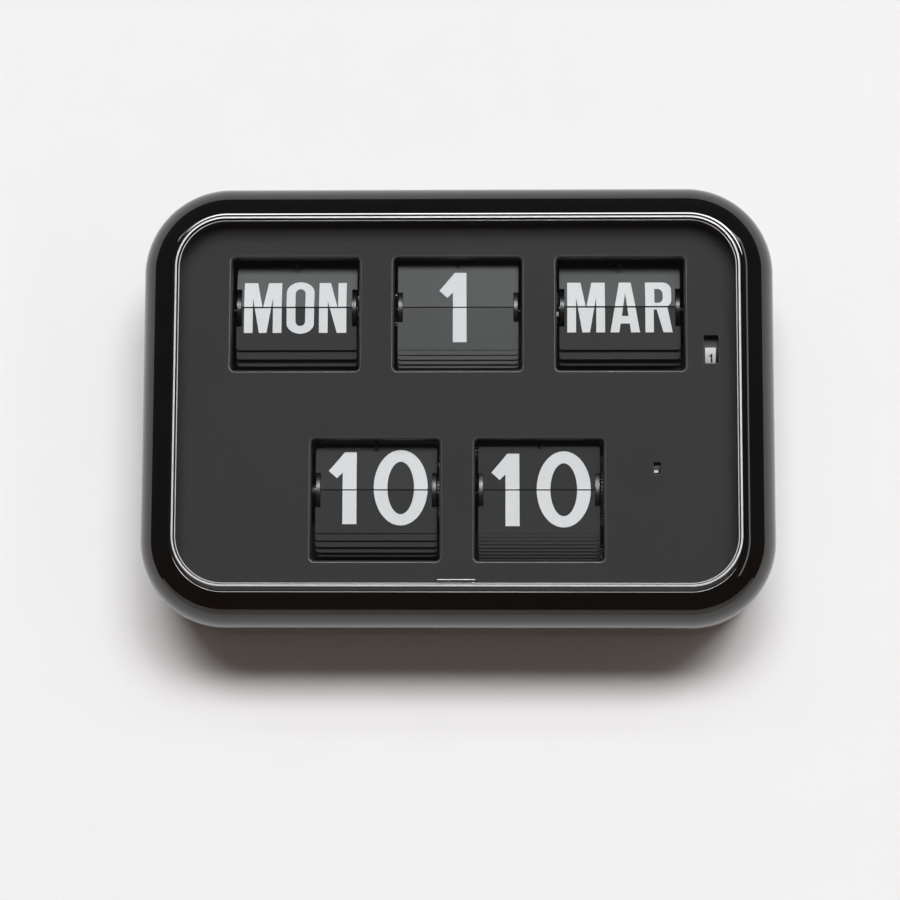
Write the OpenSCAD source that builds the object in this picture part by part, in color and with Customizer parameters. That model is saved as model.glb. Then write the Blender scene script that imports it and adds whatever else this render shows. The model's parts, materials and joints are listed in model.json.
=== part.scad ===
// Wall flip clock with weekday, date and month leaves above hour and minute leaves.
// X runs to the right seen from the front, the front faces -Y and Z is up.
// The wall is the plane Y = 0, and the origin is the centre of the hanging hole.
// "Depth" is the distance of a thing from the wall, so its Y is minus its depth.

/* [Case] */
// Width of the case
case_w = 320; // [316:1:330]
// Height of the case
case_h = 224; // [218:1:232]
// Depth of the case from the wall to the crown of its front rim
case_d = 92; // [90:0.5:98]
// Thickness of the case wall
case_wall = 3; // [2:0.1:4]
// Corner radius of the case seen from the front
corner_r = 44; // [40:0.5:50]
// Radius of the round front edge
front_round = 20; // [17:0.5:22]
// Width of the front rim from the side of the case to the lens
bezel_w = 18.25; // [17:0.25:20]
// Wall of the well that runs back from the front opening to the dial
well_wall = 2.5; // [1.5:0.1:3.5]
// Distance of the hanging hole below the top of the case
hang_z = 42; // [25:1:55]

/* [Lens] */
// Distance that the lens stands out in front of the rim
lens_proud = 3; // [2:0.25:5]
// Thickness of the lens
lens_t = 2.5; // [2:0.1:3.5]
// Length of the skirt that plugs into the well
lens_skirt = 8; // [5:0.5:11]
// Radius of the front edge of the lens
lens_edge = 1; // [0.5:0.1:1.5]
// Gap all round between the lens and the well
lens_clear = 0.6; // [0.2:0.05:0.8]
// Width of the finger lip near the lower edge of the lens
lip_w = 19; // [12:1:30]
// Distance that the finger lip stands out, half its height
lip_t = 0.8; // [0.5:0.1:1.5]

/* [Dial] */
// Thickness of the dial
dial_t = 2.5; // [2:0.1:4]
// Distance from the dial's front back to the leaves
dial_recess = 9; // [7.5:0.25:11]
// Distance that the dial reaches past the lens on every side
dial_lap = 8; // [7:0.25:9]
// Width of the five leaf windows
window_w = 67; // [65:0.5:70]
// Height of the three upper windows
upper_window_h = 60; // [56:0.5:64]
// Height of the two lower windows
lower_window_h = 63.5; // [58:0.5:68]
// Corner radius of the leaf windows
window_r = 3; // [1:0.25:6]
// Thickness of the collar behind each leaf window
collar_t = 1.5; // [1:0.1:2]
// Distance between the upper columns
column_pitch = 82.4; // [82:0.2:86]
// Distance of the upper split line below the top edge of the lens
upper_split = 42.2; // [39:0.2:44]
// Height of the lower split line above the bottom edge of the lens
lower_split = 51.7; // [47:0.1:53]
// Distance from the upper split line down to the middle of its window
upper_drop = 4.8; // [3:0.1:6]
// Distance from the lower split line down to the middle of its window
lower_drop = 5.8; // [4:0.1:7]
// Width of the leap year window
year_window_w = 7.4; // [5:0.1:9]
// Height of the leap year window
year_window_h = 14.3; // [10:0.1:16]
// Place of the leap year window to the right of the middle
year_x = 128; // [126:0.5:131]
// Distance of the leap year window below the upper split line
year_z = 23.2; // [20:0.2:26]
// Width of the seconds window
seconds_window_w = 3.6; // [2.5:0.1:5]
// Height of the seconds window
seconds_window_h = 5.8; // [4:0.1:8]
// Place of the seconds window to the right of the middle
seconds_x = 100.3; // [99:0.1:102]
// Height of the seconds window above the lower split line
seconds_z = 10.1; // [9:0.1:12]

/* [Leaves] */
// Width of a leaf
leaf_w = 61.5; // [58:0.5:62.5]
// Length of a leaf from the split line to its free edge
leaf_len = 22; // [20:0.25:24]
// Thickness of a leaf
leaf_t = 0.13; // [0.12:0.01:0.16]
// Least gap between neighbouring leaves
leaf_gap = 0.04; // [0.03:0.005:0.06]
// Gap between the tail of a swinging leaf and the leaf below the split line
split_gap = 0.5; // [0.4:0.05:0.8]
// Gap between the edge of a swinging leaf and the lens
swing_clear = 1.5; // [1:0.25:3]
// Depth of the notch beside each leaf's pivot
notch_w = 2.6; // [2.2:0.1:3.2]
// Corner radius of a leaf's free edge
leaf_corner = 1.5; // [0.5:0.25:3]
// Number of weekday leaves, two weeks
weekday_count = 14; // [7:7:14]
// Number of date leaves
date_count = 31; // [31:1:32]
// Number of month leaves
month_count = 12; // [12:12:24]
// Number of hour leaves
hour_count = 24; // [12:12:24]
// Number of minute leaves
minute_count = 60; // [30:30:60]
// Radius of the weekday pivots about their drum's axis
weekday_r = 11; // [10:0.25:13]
// Radius of the date pivots
date_r = 12.5; // [11.5:0.25:14]
// Radius of the month pivots
month_r = 10; // [9.5:0.25:12]
// Radius of the hour pivots
hour_r = 14; // [12.5:0.25:15]
// Radius of the minute pivots
minute_r = 18; // [18:0.25:19]

/* [Drums and frames] */
// Thickness of a drum's end flange
flange_t = 2; // [1.8:0.1:2.2]
// Rim of the flange outside the pivots
flange_rim = 1.5; // [1.3:0.1:1.8]
// Radius of a drum's hub
hub_r = 5; // [4:0.25:6]
// Radius of the steel shafts that the drums turn on
shaft_r = 1.5; // [1.2:0.1:2]
// Radial running clearance of every shaft and arbor
run_clear = 0.05; // [0.02:0.01:0.09]
// Thickness of the sheet metal frames
frame_t = 1.5; // [1:0.1:1.8]
// Height of the sheet metal beside a shaft, up and down
frame_half = 10; // [8:0.5:12]
// Width of a frame's foot
foot_w = 5; // [4.2:0.1:5.2]
// Height of the top bar's lower edge above the split line
bar_z = 29; // [28:0.25:32]
// Thickness of the spring finger that holds the top leaf
finger_t = 0.3; // [0.25:0.05:0.5]
// Gap between the finger and the leaf that leans forward most
finger_gap = 0.1; // [0.05:0.05:0.3]
// Width of the finger's tip
finger_w = 1.6; // [1.2:0.1:2.5]
// Distance that the finger reaches down over the top leaf
finger_lap = 1.2; // [0.6:0.1:2]

/* [Gear train] */
// Pitch diameter of a gear per tooth
gear_module = 0.6; // [0.58:0.01:0.62]
// Width of a gear's teeth
gear_t = 2; // [1.5:0.1:2.2]
// Radius of the gear arbors
arbor_r = 1.25; // [1:0.05:1.3]
// Radius of the seconds drum
seconds_r = 8; // [7:0.25:9]
// Width of the seconds drum
seconds_w = 6; // [5:0.25:8]
// Gap between the small drums and the back of the dial
drum_gap = 1; // [0.6:0.1:2]
// Radius of the leap year wheel
year_r = 11; // [9.5:0.25:12]
// Width of the leap year wheel
year_w = 9; // [8:0.25:11]
// Gap between the setting wheel's rim and the wall
setting_gap = 0.8; // [0.5:0.1:1.4]
// Radius of the toothed wheels that the calendar arms reach for
star_r = 9; // [8:0.25:9.5]
// Radius of the rocking shaft that moves the calendar on at midnight
rocker_r = 2; // [1.5:0.1:2.5]
// Width of the rocking shaft's arms
rocker_arm_w = 4; // [3:0.25:5]

/* [Back and battery] */
// Thickness of the rear cover
cover_t = 2.5; // [2:0.1:3]
// Gap round the rear cover and the battery door
cover_clear = 0.4; // [0.2:0.05:0.6]
// Thickness of the steel hanger plate and of the wall pads
hanger_t = 1.5; // [1:0.1:2]
// Radius of the round hole that goes over the nail's head
hanger_r = 5; // [4:0.25:6]
// Radius of the slot that the nail's shank runs up
slot_r = 2.4; // [1.8:0.1:2.6]
// Length of that slot
slot_l = 12; // [9:0.5:15]
// Diameter of the battery
cell_d = 34.2; // [33:0.1:34.5]
// Length of the battery without its button
cell_l = 59.5; // [58:0.25:60]
// Gap between the battery and its tray
cell_clear = 0.3; // [0.2:0.05:0.5]
// Distance of the battery's middle from the inside of the case's left side
cell_x = 47.5; // [46.5:0.5:48.5]
// Height of the battery's middle above the inside of the case's bottom
cell_z = 33; // [32:0.5:34]
// Wall of the battery tray
tray_t = 2; // [1.5:0.1:2.5]
// Gap between the setting wheel's axis and the front of the chassis plate
chassis_gap = 3.9; // [3.5:0.1:4.5]
// Thickness of the chassis plate
chassis_t = 1.5; // [1:0.1:2]
// Radius of the pillars between the chassis and the dial
pillar_r = 3.5; // [2.5:0.25:4]

/* [Hidden] */
$fn = 64;
// How far a cut runs past the faces that it opens
cut = 1;

// Places along the depth
collar_gap = 1.5;
lens_front = case_d + lens_proud;
lens_in = lens_front - lens_t;
leaf_depth = lens_in - leaf_len - swing_clear;
dial_front = leaf_depth + dial_recess;
dial_back = dial_front - dial_t;
collar_back = leaf_depth + collar_gap;
cover_out = hanger_t;
cover_in = cover_out + cover_t;

// Outlines seen from the front
lens_w = case_w - 2 * bezel_w;
lens_h = case_h - 2 * bezel_w;
lens_r = corner_r - bezel_w;
dial_w = lens_w + 2 * dial_lap;
dial_h = lens_h + 2 * dial_lap;
dial_r = lens_r + dial_lap;
inner_w = case_w - 2 * case_wall;
inner_h = case_h - 2 * case_wall;
cover_w = inner_w - 2 * cover_clear;
cover_h = inner_h - 2 * cover_clear;
cover_r = corner_r - case_wall - cover_clear;
hang_at = case_h / 2 - hang_z;
upper_mid = lens_h / 2 - upper_split;
lower_mid = lower_split - lens_h / 2;
year_mid = upper_mid - year_z;
seconds_mid = lower_mid + seconds_z;
cell_at = [cell_x - inner_w / 2, cell_z - inner_h / 2];
lip_rise = 4;
year_window_r = 1;

// Screws: radius of the shank, radius and height of the head, clearance round the shank
screw_r = 1.1;
screw_head_r = 2.4;
screw_head_t = 1.6;
screw_clear = 0.15;
screw_tip_gap = 1;
boss_r = 3.2;
rear_boss_len = 14;
rear_head_t = 1;
rear_screw_grip = 9.5;
rear_screw_x = 70;
rear_screw_z = inner_h / 2 - boss_r;
rear_screw_at = [for (sx = [-1, 1], sz = [-1, 1]) [sx * rear_screw_x, sz * rear_screw_z]];
dial_boss_r = 2.6;
dial_screw_grip = 6;
dial_screw_in = dial_lap - dial_boss_r;
dial_screw_x = 75;
dial_screw_z = 45;
dial_screw_at = [
    for (s = [-1, 1], t = [-1, 1]) [s * (lens_w / 2 + dial_screw_in), t * dial_screw_z],
    for (s = [-1, 1], t = [-1, 1]) [t * dial_screw_x, s * (lens_h / 2 + dial_screw_in)]
];

// The five leaf modules: column, split height, leaf count, pivot radius and window
WEEKDAY = 0;
DATE = 1;
MONTH = 2;
HOUR = 3;
MINUTE = 4;
ALL_MODULES = [WEEKDAY, DATE, MONTH, HOUR, MINUTE];
module_x = [-column_pitch, 0, column_pitch, -column_pitch / 2, column_pitch / 2];
module_z = [upper_mid, upper_mid, upper_mid, lower_mid, lower_mid];
module_count = [weekday_count, date_count, month_count, hour_count, minute_count];
module_r = [weekday_r, date_r, month_r, hour_r, minute_r];
window_h = [upper_window_h, upper_window_h, upper_window_h, lower_window_h, lower_window_h];
window_drop = [upper_drop, upper_drop, upper_drop, lower_drop, lower_drop];

// Steps of a module: pitch of its pivots as an angle and as a length
function pitch(m) = 360 / module_count[m];
function chord(m) = 2 * module_r[m] * sin(pitch(m) / 2);
// A leaf's tail ends at the split line, half a step of the pivots from its ears
function tail_len(m) = (chord(m) - split_gap) / 2;
function free_len(m) = leaf_len - chord(m) / 2;
// Angle between a raised leaf and the line to the next pivot, at which it clears the tail behind it
function rest_angle(m) =
    let (thick = (leaf_t + leaf_gap) / chord(m), tail = tail_len(m) / chord(m))
    atan(thick) + asin(tail * sin(pitch(m)) / sqrt(1 + thick * thick));
function axis_depth(m) = leaf_depth - module_r[m] * cos(pitch(m) / 2);
function axis_at(m) = [-axis_depth(m), module_z[m]];
// Angle that a raised leaf leans in from the tangent at its pivot
function lean(m) = pitch(m) / 2 - rest_angle(m);
// Angle short of straight down at which a falling leaf stops, in front of the leaf below it
fall_stop = 9;
fall_clear = 0.4;
function fall_rest(m) = max(fall_stop, asin(fall_clear / chord(m)));
// Length of the notch that keeps the full width of a leaf clear of the flange's rim, raised and fallen
function notch_len(m) =
    let (most = max(lean(m), pitch(m) / 2 - fall_rest(m), -pitch(m) / 2))
    let (in = module_r[m] * sin(most), rim = module_r[m] + flange_rim + notch_clear)
    in + sqrt(in * in + rim * rim - module_r[m] * module_r[m]);

// Half widths inside a module, from the leaf outwards
ear_gap = 0.2;
notch_clear = 0.3;
neck_half = leaf_w / 2 - notch_w;
flange_in = neck_half + ear_gap;
flange_out = flange_in + flange_t;
ear_len = 0.9;
ear_h = 0.6;
groove_depth = 1.2;
groove_in = 0.5;
groove_out = 0.9;
side_gap = 0.35;
cheek_gap = 0.5;
gear_in = leaf_w / 2 + side_gap;
gear_out = gear_in + gear_t;
cheek_in = gear_out + cheek_gap;
cheek_out = cheek_in + frame_t;
bar_h = 3;
bar_depth = 3;
// The finger stands clear of the leaf that leans forward most
lean_out = max([0, for (m = ALL_MODULES) free_len(m) * sin(rest_angle(m) - pitch(m))]);
bar_front = leaf_depth + leaf_t / 2 + finger_gap + lean_out;
foot_x = cheek_out + foot_w / 2;
foot_screw_at = [for (m = ALL_MODULES, s = [-1, 1]) [module_x[m] + s * foot_x, module_z[m]]];

// Outline of a frame's cheek: waist above the shaft, nose in front of it, lower corner and tip
cheek_waist = 4;
cheek_nose = [9, 2];
cheek_low = 6;
cheek_tip_d = 5;
cheek_tip_h = 6;
carry_lug_r = 7;
setting_lug = 6;
tie_in = 4;
tie_t = 2;
tie_h = 3.5;
// Caps on the ends of the shafts, thick as they stand out
shaft_cap = 1;
// Holes in the drums' flanges and the wall left round them
spokes = 6;
hole_wall = 0.8;
// Teeth on the drums' ends and the lift of the hour drum's cam
star_tooth = 1.4;
cam_lift = 1.5;
finger_shoulder = 2;

// Teeth of the train: 60 turns of the seconds arbor to 1 of the minutes and 24 of those to 1 of the hours
seconds_teeth = 8;
transfer_teeth = 60;
transfer_leaves = 8;
minute_teeth = 64;
carry_leaves = 10;
carry_teeth = 50;
hour_leaves = 10;
hour_teeth = 48;

// The third corner of a triangle on a and b with the two given sides, on the upper side
function meet(a, b, from_a, from_b) =
    let (d = norm(b - a), along = (b - a) / d)
    let (s = (from_a * from_a - from_b * from_b + d * d) / (2 * d))
    let (h = sqrt(from_a * from_a - s * s))
    let (low = a + s * along - h * [-along.y, along.x], high = a + s * along + h * [-along.y, along.x])
    high.y > low.y ? high : low;
// Height of a tooth's tip and depth of its root, in modules
tooth_tip = 0.75;
tooth_root = 1.05;
function pitch_r(teeth) = teeth * gear_module / 2;
function mesh_gap(t1, t2) = pitch_r(t1) + pitch_r(t2);
function bearing(a, b) = atan2(b.y - a.y, b.x - a.x);
// The turn of gear b that puts its gaps on the teeth of gear a
function mesh_phase(from_a_to_b, phase_a, teeth_a, teeth_b) =
    from_a_to_b + 180 - (phase_a - from_a_to_b) * teeth_a / teeth_b - 180 / teeth_b;

// Places of the arbors, as [Y, Z]
rocker_off = 10.5;
hour_at = axis_at(HOUR);
minute_at = axis_at(MINUTE);
seconds_at = [-(dial_back - drum_gap - seconds_r), seconds_mid];
transfer_at = meet(minute_at, seconds_at,
    mesh_gap(transfer_leaves, minute_teeth), mesh_gap(seconds_teeth, transfer_teeth));
carry_at = meet(minute_at, hour_at,
    mesh_gap(carry_leaves, carry_teeth), mesh_gap(hour_leaves, hour_teeth));
// The setting wheel reaches from the minute gear to the wall, with about this drop of its axis
setting_drop = 19.6;
setting_span = axis_depth(MINUTE) - setting_gap - gear_module;
setting_teeth = round(
    (pow(setting_span, 2) + pow(setting_drop, 2) - pow(pitch_r(minute_teeth), 2))
    / (setting_span + pitch_r(minute_teeth)) / gear_module);
setting_depth = setting_gap + pitch_r(setting_teeth) + gear_module;
setting_reach = mesh_gap(minute_teeth, setting_teeth);
setting_back = axis_depth(MINUTE) - setting_depth;
setting_at = [-setting_depth, lower_mid - sqrt(pow(setting_reach, 2) - pow(setting_back, 2))];
// The chassis plate lies behind the setting wheel's axis
chassis_front = setting_depth - chassis_gap;
chassis_back = chassis_front - chassis_t;
year_at = [-(dial_back - drum_gap - year_r), year_mid];
rocker_at = [-(chassis_front + rocker_off), (upper_mid + lower_mid) / 2];
minute_phase = bearing(minute_at, transfer_at);

// Places of the train across the clock
bridge_gap = 2;
wheel_gap = 1.5;
bridge_x = module_x[MINUTE] + cheek_out + foot_w + bridge_gap;
wheel_x = bridge_x + frame_t + wheel_gap;
motor_x = seconds_x + seconds_w / 2 + bridge_gap;
bridge_edge = 6;
bridge_nose = 5;
bridge_drop = 14;
arbor_end = 0.5;
arbor_grip = 11;
motor_side = 14.2;
motor_w = inner_w / 2 - motor_side - motor_x - frame_t;
motor_fore = 6;
motor_aft = 26;
motor_up = 8;
motor_down = 22;

// Side of a drum that carries its toothed wheel or cam
star_side = [1, -1, -1, -1];
function star_x(m) = module_x[m] + (star_side[m] > 0 ? gear_in : -gear_out);
rocker_end = 2;
rocker_hub = 1.5;
arm_side = 0.1;
bracket_at = [-62, -20, 36];
bracket_half = 6;
bracket_foot = 8;
year_lug = 4;

// Hanger plate, wall pads and slots of the rear cover
hanger_side = 10;
hanger_end = 6;
hanger_room = 1;
pad_x = 50;
pad_rise = 20;
pad_r = 7;
slot_side = 0.8;
slot_end = 2;

// Battery tray
cell_depth = cover_in + cell_clear + cell_d / 2;
contact_t = 0.6;
contact_w = 24;
contact_r = 4;
spring_len = 4;
spring_r = 9;
spring_tip_r = 5;
button_len = 2;
button_r = 4.8;
tray_in_l = cell_l + spring_len + 2 * contact_t + 2 * cell_clear + button_len;
tray_in_h = cell_d + 2 * cell_clear;
tray_front = cell_depth + cell_d / 2 + cell_clear + tray_t;
door_lap = 1;
door_w = tray_in_l - 2 * door_lap;
door_h = tray_in_h - 2 * door_lap;
dip_in = 8;
dip_r = 5;
dip_t = 1;

// Pillars near the dial's upper corners and lower edge, and the chassis plate that they carry
chassis_edge = 6;
chassis_clear = 0.5;
tray_side = cell_at.x + tray_in_l / 2 + tray_t + chassis_clear;
tray_top = cell_at.y + tray_in_h / 2 + tray_t + chassis_clear;
chassis_low_w = motor_x + frame_t + chassis_edge - tray_side;
pillar_in = 12;
pillar_down = 15;
pillar_beside = 3.85;
pillar_up = 5;
pillar_x = dial_w / 2 - pillar_in;
pillar_top = dial_h / 2 - pillar_down;
pillar_low_x = -tray_side - pillar_r - pillar_beside;
pillar_low = pillar_up - dial_h / 2;
pillar_at = [
    for (s = [1, -1]) [s * pillar_x, pillar_top],
    for (s = [1, -1]) [s * pillar_low_x, pillar_low]
];

// Moves what is drawn about the middle of the case into the frame of the hanging hole
module at_case() {
    translate([0, 0, -hang_at]) children();
}

// Extrudes an outline drawn in X and Z from one depth to another
module slab(depth_from, depth_to) {
    translate([0, -depth_from, 0]) rotate([90, 0, 0]) linear_extrude(depth_to - depth_from) children();
}

// Extrudes an outline drawn in Y and Z from one X to another
module across(x_from, x_to) {
    translate([x_from, 0, 0]) rotate([90, 0, 90]) linear_extrude(x_to - x_from) children();
}

module rounded(w, h, r) {
    square([w - 2 * r, h], center = true);
    square([w, h - 2 * r], center = true);
    for (sx = [-1, 1], sz = [-1, 1]) {
        translate([sx * (w / 2 - r), sz * (h / 2 - r)]) circle(r);
    }
}

// Runs a profile round a rounded rectangle. The profile's x is the distance from the corner's
// centre outwards and its y is the depth
module frame_sweep(w, h, r) {
    for (turn = [0, 90, 180, 270]) {
        odd = turn % 180 == 90;
        long = odd ? h - 2 * r : w - 2 * r;
        far = odd ? w / 2 - r : h / 2 - r;
        rotate([0, -turn, 0]) {
            translate([long / 2, 0, far]) rotate([90, 0, 0]) rotate_extrude(angle = 90) children();
            translate([-long / 2, 0, far]) rotate([90, 0, 0]) rotate([0, 90, 0]) rotate([0, 0, 90])
                linear_extrude(long) children();
        }
    }
}

// A solid of the case's outer profile, or of the hollow in it
module rim_profile(r, d, round) {
    square([r, d - round]);
    square([r - round, d]);
    translate([r - round, d - round]) circle(round);
}

module gear_outline(teeth, phase, slim) {
    r = pitch_r(teeth);
    p = 360 / teeth;
    tip = r + tooth_tip * gear_module;
    root = r - tooth_root * gear_module;
    half = slim ? [0.26, 0.19, 0.07] : [0.30, 0.21, 0.09];
    side = [[root, -half[0]], [r, -half[1]], [tip, -half[2]], [tip, half[2]], [r, half[1]], [root, half[0]]];
    polygon([for (k = [0 : teeth - 1], s = side)
        s[0] * [cos(phase + p * (k + s[1])), sin(phase + p * (k + s[1]))]]);
}

module star_outline(teeth) {
    polygon([for (k = [0 : 2 * teeth - 1])
        (k % 2 == 0 ? star_r : star_r - star_tooth) * [cos(180 * k / teeth), sin(180 * k / teeth)]]);
}

// Case and front

module case_shell() {
    opening = corner_r - bezel_w + lens_clear;
    color("#0b0b0c") difference() {
        union() {
            frame_sweep(case_w, case_h, corner_r) {
                difference() {
                    rim_profile(corner_r, case_d, front_round);
                    translate([0, -cut])
                        rim_profile(corner_r - case_wall, case_d - case_wall + cut, front_round - case_wall);
                    square([opening, case_d + cut]);
                }
                intersection() {
                    translate([opening, dial_front]) square([well_wall, case_d]);
                    rim_profile(corner_r, case_d, front_round);
                }
            }
            for (at = dial_screw_at) {
                slab(dial_front, case_d - case_wall) translate(at) circle(dial_boss_r);
            }
            for (at = rear_screw_at) {
                slab(cover_in, cover_in + rear_boss_len) translate(at) {
                    circle(boss_r);
                    translate([-boss_r, at.y > 0 ? 0 : -boss_r - case_wall / 2])
                        square([2 * boss_r, boss_r + case_wall / 2]);
                }
            }
        }
        for (at = dial_screw_at) {
            slab(dial_front - cut, dial_front + dial_screw_grip + screw_tip_gap)
                translate(at) circle(screw_r + run_clear);
        }
        for (at = rear_screw_at) {
            slab(cover_in - cut, cover_in + rear_screw_grip + screw_tip_gap)
                translate(at) circle(screw_r + run_clear);
        }
    }
}

module lens_cover() {
    inner_r = lens_r - lens_t;
    color("#d8e4e8", 0.25) {
        slab(lens_in, lens_front) rounded(lens_w - 2 * lens_edge, lens_h - 2 * lens_edge, lens_r - lens_edge);
        frame_sweep(lens_w, lens_h, lens_r) {
            translate([lens_r - lens_edge, lens_in]) square([lens_edge, lens_t - lens_edge]);
            intersection() {
                translate([lens_r - lens_edge, lens_front - lens_edge]) square(lens_edge);
                translate([lens_r - lens_edge, lens_front - lens_edge]) circle(lens_edge);
            }
            translate([inner_r, lens_in - lens_skirt]) square([lens_t, lens_skirt]);
        }
        translate([-lip_w / 2, -lens_front - lip_t, lip_rise - lens_h / 2]) cube([lip_w, lip_t, 2 * lip_t]);
    }
}

module dial_panel() {
    color("#3c3c3d") difference() {
        union() {
            slab(dial_back, dial_front) rounded(dial_w, dial_h, dial_r);
            for (m = ALL_MODULES) {
                slab(collar_back, dial_back) at_window(m)
                    rounded(window_w + 2 * collar_t, window_h[m] + 2 * collar_t, window_r + collar_t);
            }
        }
        for (m = ALL_MODULES) {
            slab(collar_back - cut, dial_front + cut) at_window(m) rounded(window_w, window_h[m], window_r);
        }
        slab(dial_back - cut, dial_front + cut) {
            translate([year_x, year_mid]) rounded(year_window_w, year_window_h, year_window_r);
            translate([seconds_x, seconds_mid]) square([seconds_window_w, seconds_window_h], center = true);
            for (at = dial_screw_at) {
                translate(at) circle(screw_r + screw_clear);
            }
        }
    }
}

module at_window(m) {
    translate([module_x[m], module_z[m] - window_drop[m]]) children();
}

// Back and battery

module rear_cover() {
    color("#161617") difference() {
        slab(cover_out, cover_in) rounded(cover_w, cover_h, cover_r);
        slab(cover_out - cut, cover_in + cut) {
            translate([0, hang_at]) circle(hanger_r + hanger_room);
            translate([-hanger_r - hanger_room, hang_at])
                square([2 * (hanger_r + hanger_room), slot_l + slot_r + hanger_room]);
            translate(cell_at) square([door_w, door_h], center = true);
            setting_slot();
            for (at = rear_screw_at) {
                translate(at) circle(screw_r + screw_clear);
            }
        }
    }
}

// Slot that the setting wheel's rim comes through
module setting_slot() {
    reach = pitch_r(setting_teeth) + slot_end;
    x0 = module_x[MINUTE] + gear_in - slot_side;
    translate([x0, setting_at.y - reach]) square([gear_t + 2 * slot_side, 2 * reach]);
}

module hanger_plate() {
    plate_w = 2 * (hanger_r + hanger_side);
    color("#b9bcc0") slab(0, hanger_t) difference() {
        translate([-plate_w / 2, hang_at - hanger_r - hanger_end])
            square([plate_w, slot_l + hanger_r + slot_r + 2 * hanger_end]);
        translate([0, hang_at]) circle(hanger_r);
        translate([0, hang_at + slot_l]) circle(slot_r);
        translate([-slot_r, hang_at]) square([2 * slot_r, slot_l]);
    }
}

module wall_pads() {
    color("#2a2a2a") slab(0, hanger_t) {
        for (sx = [-1, 1]) {
            translate([sx * pad_x, pad_rise - case_h / 2]) circle(pad_r);
        }
    }
}

module battery_door() {
    color("#1b1b1c") difference() {
        slab(cover_out, cover_in) translate(cell_at)
            square([door_w - 2 * cover_clear, door_h - 2 * cover_clear], center = true);
        slab(cover_out - cut, cover_out + dip_t)
            translate([cell_at.x + door_w / 2 - dip_in, cell_at.y]) circle(dip_r);
    }
}

module battery_tray() {
    color("#222223") difference() {
        slab(cover_in, tray_front) translate(cell_at)
            square([tray_in_l + 2 * tray_t, tray_in_h + 2 * tray_t], center = true);
        slab(cover_in - cut, tray_front - tray_t) translate(cell_at)
            square([tray_in_l, tray_in_h], center = true);
    }
}

module battery_cell() {
    at = [-cell_depth, cell_at.y];
    color("#8a6b3a") {
        across(cell_at.x - cell_l / 2, cell_at.x + cell_l / 2) translate(at) circle(cell_d / 2);
        across(cell_at.x + cell_l / 2, cell_at.x + cell_l / 2 + button_len) translate(at) circle(button_r);
    }
}

module battery_spring() {
    x_end = cell_at.x - tray_in_l / 2;
    x_cell = cell_at.x - cell_l / 2;
    color("#c8c8c8") {
        across(x_end, x_end + contact_t) translate([-cell_depth, cell_at.y]) square(contact_w, center = true);
        translate([x_end + contact_t, -cell_depth, cell_at.y]) rotate([0, 90, 0])
            cylinder(r1 = spring_r, r2 = spring_tip_r, h = x_cell - x_end - contact_t);
    }
}

module battery_contact() {
    x_end = cell_at.x + tray_in_l / 2;
    x_button = cell_at.x + cell_l / 2 + button_len;
    color("#c8c8c8") {
        across(x_end - contact_t, x_end) translate([-cell_depth, cell_at.y]) square(contact_w, center = true);
        across(x_button, x_end - contact_t) translate([-cell_depth, cell_at.y]) circle(contact_r);
    }
}

// A screw whose head seats at a depth and whose shank runs forward from there
module screw_at(at, depth, len, head_t) {
    slab(depth, depth + len) translate(at) circle(screw_r);
    slab(depth - head_t, depth) translate(at) circle(screw_head_r);
}

module rear_cover_screws() {
    color("#8d8f92") for (at = rear_screw_at) {
        screw_at(at, cover_out, cover_t + rear_screw_grip, rear_head_t);
    }
}

module dial_screws() {
    color("#8d8f92") for (at = dial_screw_at) {
        screw_at(at, dial_back, dial_t + dial_screw_grip, screw_head_t);
    }
}

// Chassis

module chassis_plate() {
    color("#a9adb1") difference() {
        slab(chassis_back, chassis_front) union() {
            translate([-pillar_x - chassis_edge, tray_top])
                square([2 * (pillar_x + chassis_edge), pillar_top + chassis_edge - tray_top]);
            translate([tray_side, pillar_low - pillar_r])
                square([chassis_low_w, tray_top - pillar_low + chassis_edge]);
        }
        slab(chassis_back - cut, chassis_front + cut) {
            setting_slot();
            for (at = foot_screw_at) {
                translate(at) circle(screw_r + screw_clear);
            }
        }
    }
}

module frame_screws() {
    color("#8d8f92") for (at = foot_screw_at) {
        screw_at(at, chassis_back, chassis_t + frame_t + screw_tip_gap, screw_head_t);
    }
}

module chassis_pillars() {
    color("#b9bcc0") slab(chassis_front, dial_back) {
        for (at = pillar_at) {
            translate(at) circle(pillar_r);
        }
    }
}

module gear_bridge() {
    low = seconds_mid - bridge_drop;
    high = transfer_at.y + bridge_edge;
    color("#a9adb1") difference() {
        union() {
            for (x = [bridge_x, motor_x]) {
                across(x, x + frame_t) polygon([
                    [-chassis_front, low], [-chassis_front, high],
                    [transfer_at.x - bridge_edge, high],
                    [seconds_at.x - bridge_nose, seconds_mid + bridge_nose],
                    [seconds_at.x - bridge_nose, seconds_mid - bridge_edge],
                    [transfer_at.x - bridge_edge, low]
                ]);
            }
            slab(chassis_front, chassis_front + frame_t) translate([bridge_x, low])
                square([motor_x + frame_t - bridge_x, high - low]);
        }
        across(bridge_x - cut, motor_x + frame_t + cut) {
            translate(seconds_at) circle(arbor_r + run_clear);
            translate(transfer_at) circle(arbor_r + run_clear);
        }
    }
}

module quartz_motor() {
    x0 = motor_x + frame_t;
    color("#e6e3d8") difference() {
        across(x0, x0 + motor_w) translate([seconds_at.x - motor_fore, seconds_mid - motor_down])
            square([motor_fore + motor_aft, motor_up + motor_down]);
        across(x0 - cut, x0 + arbor_grip + screw_tip_gap) translate(seconds_at) circle(arbor_r + run_clear);
    }
}

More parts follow.
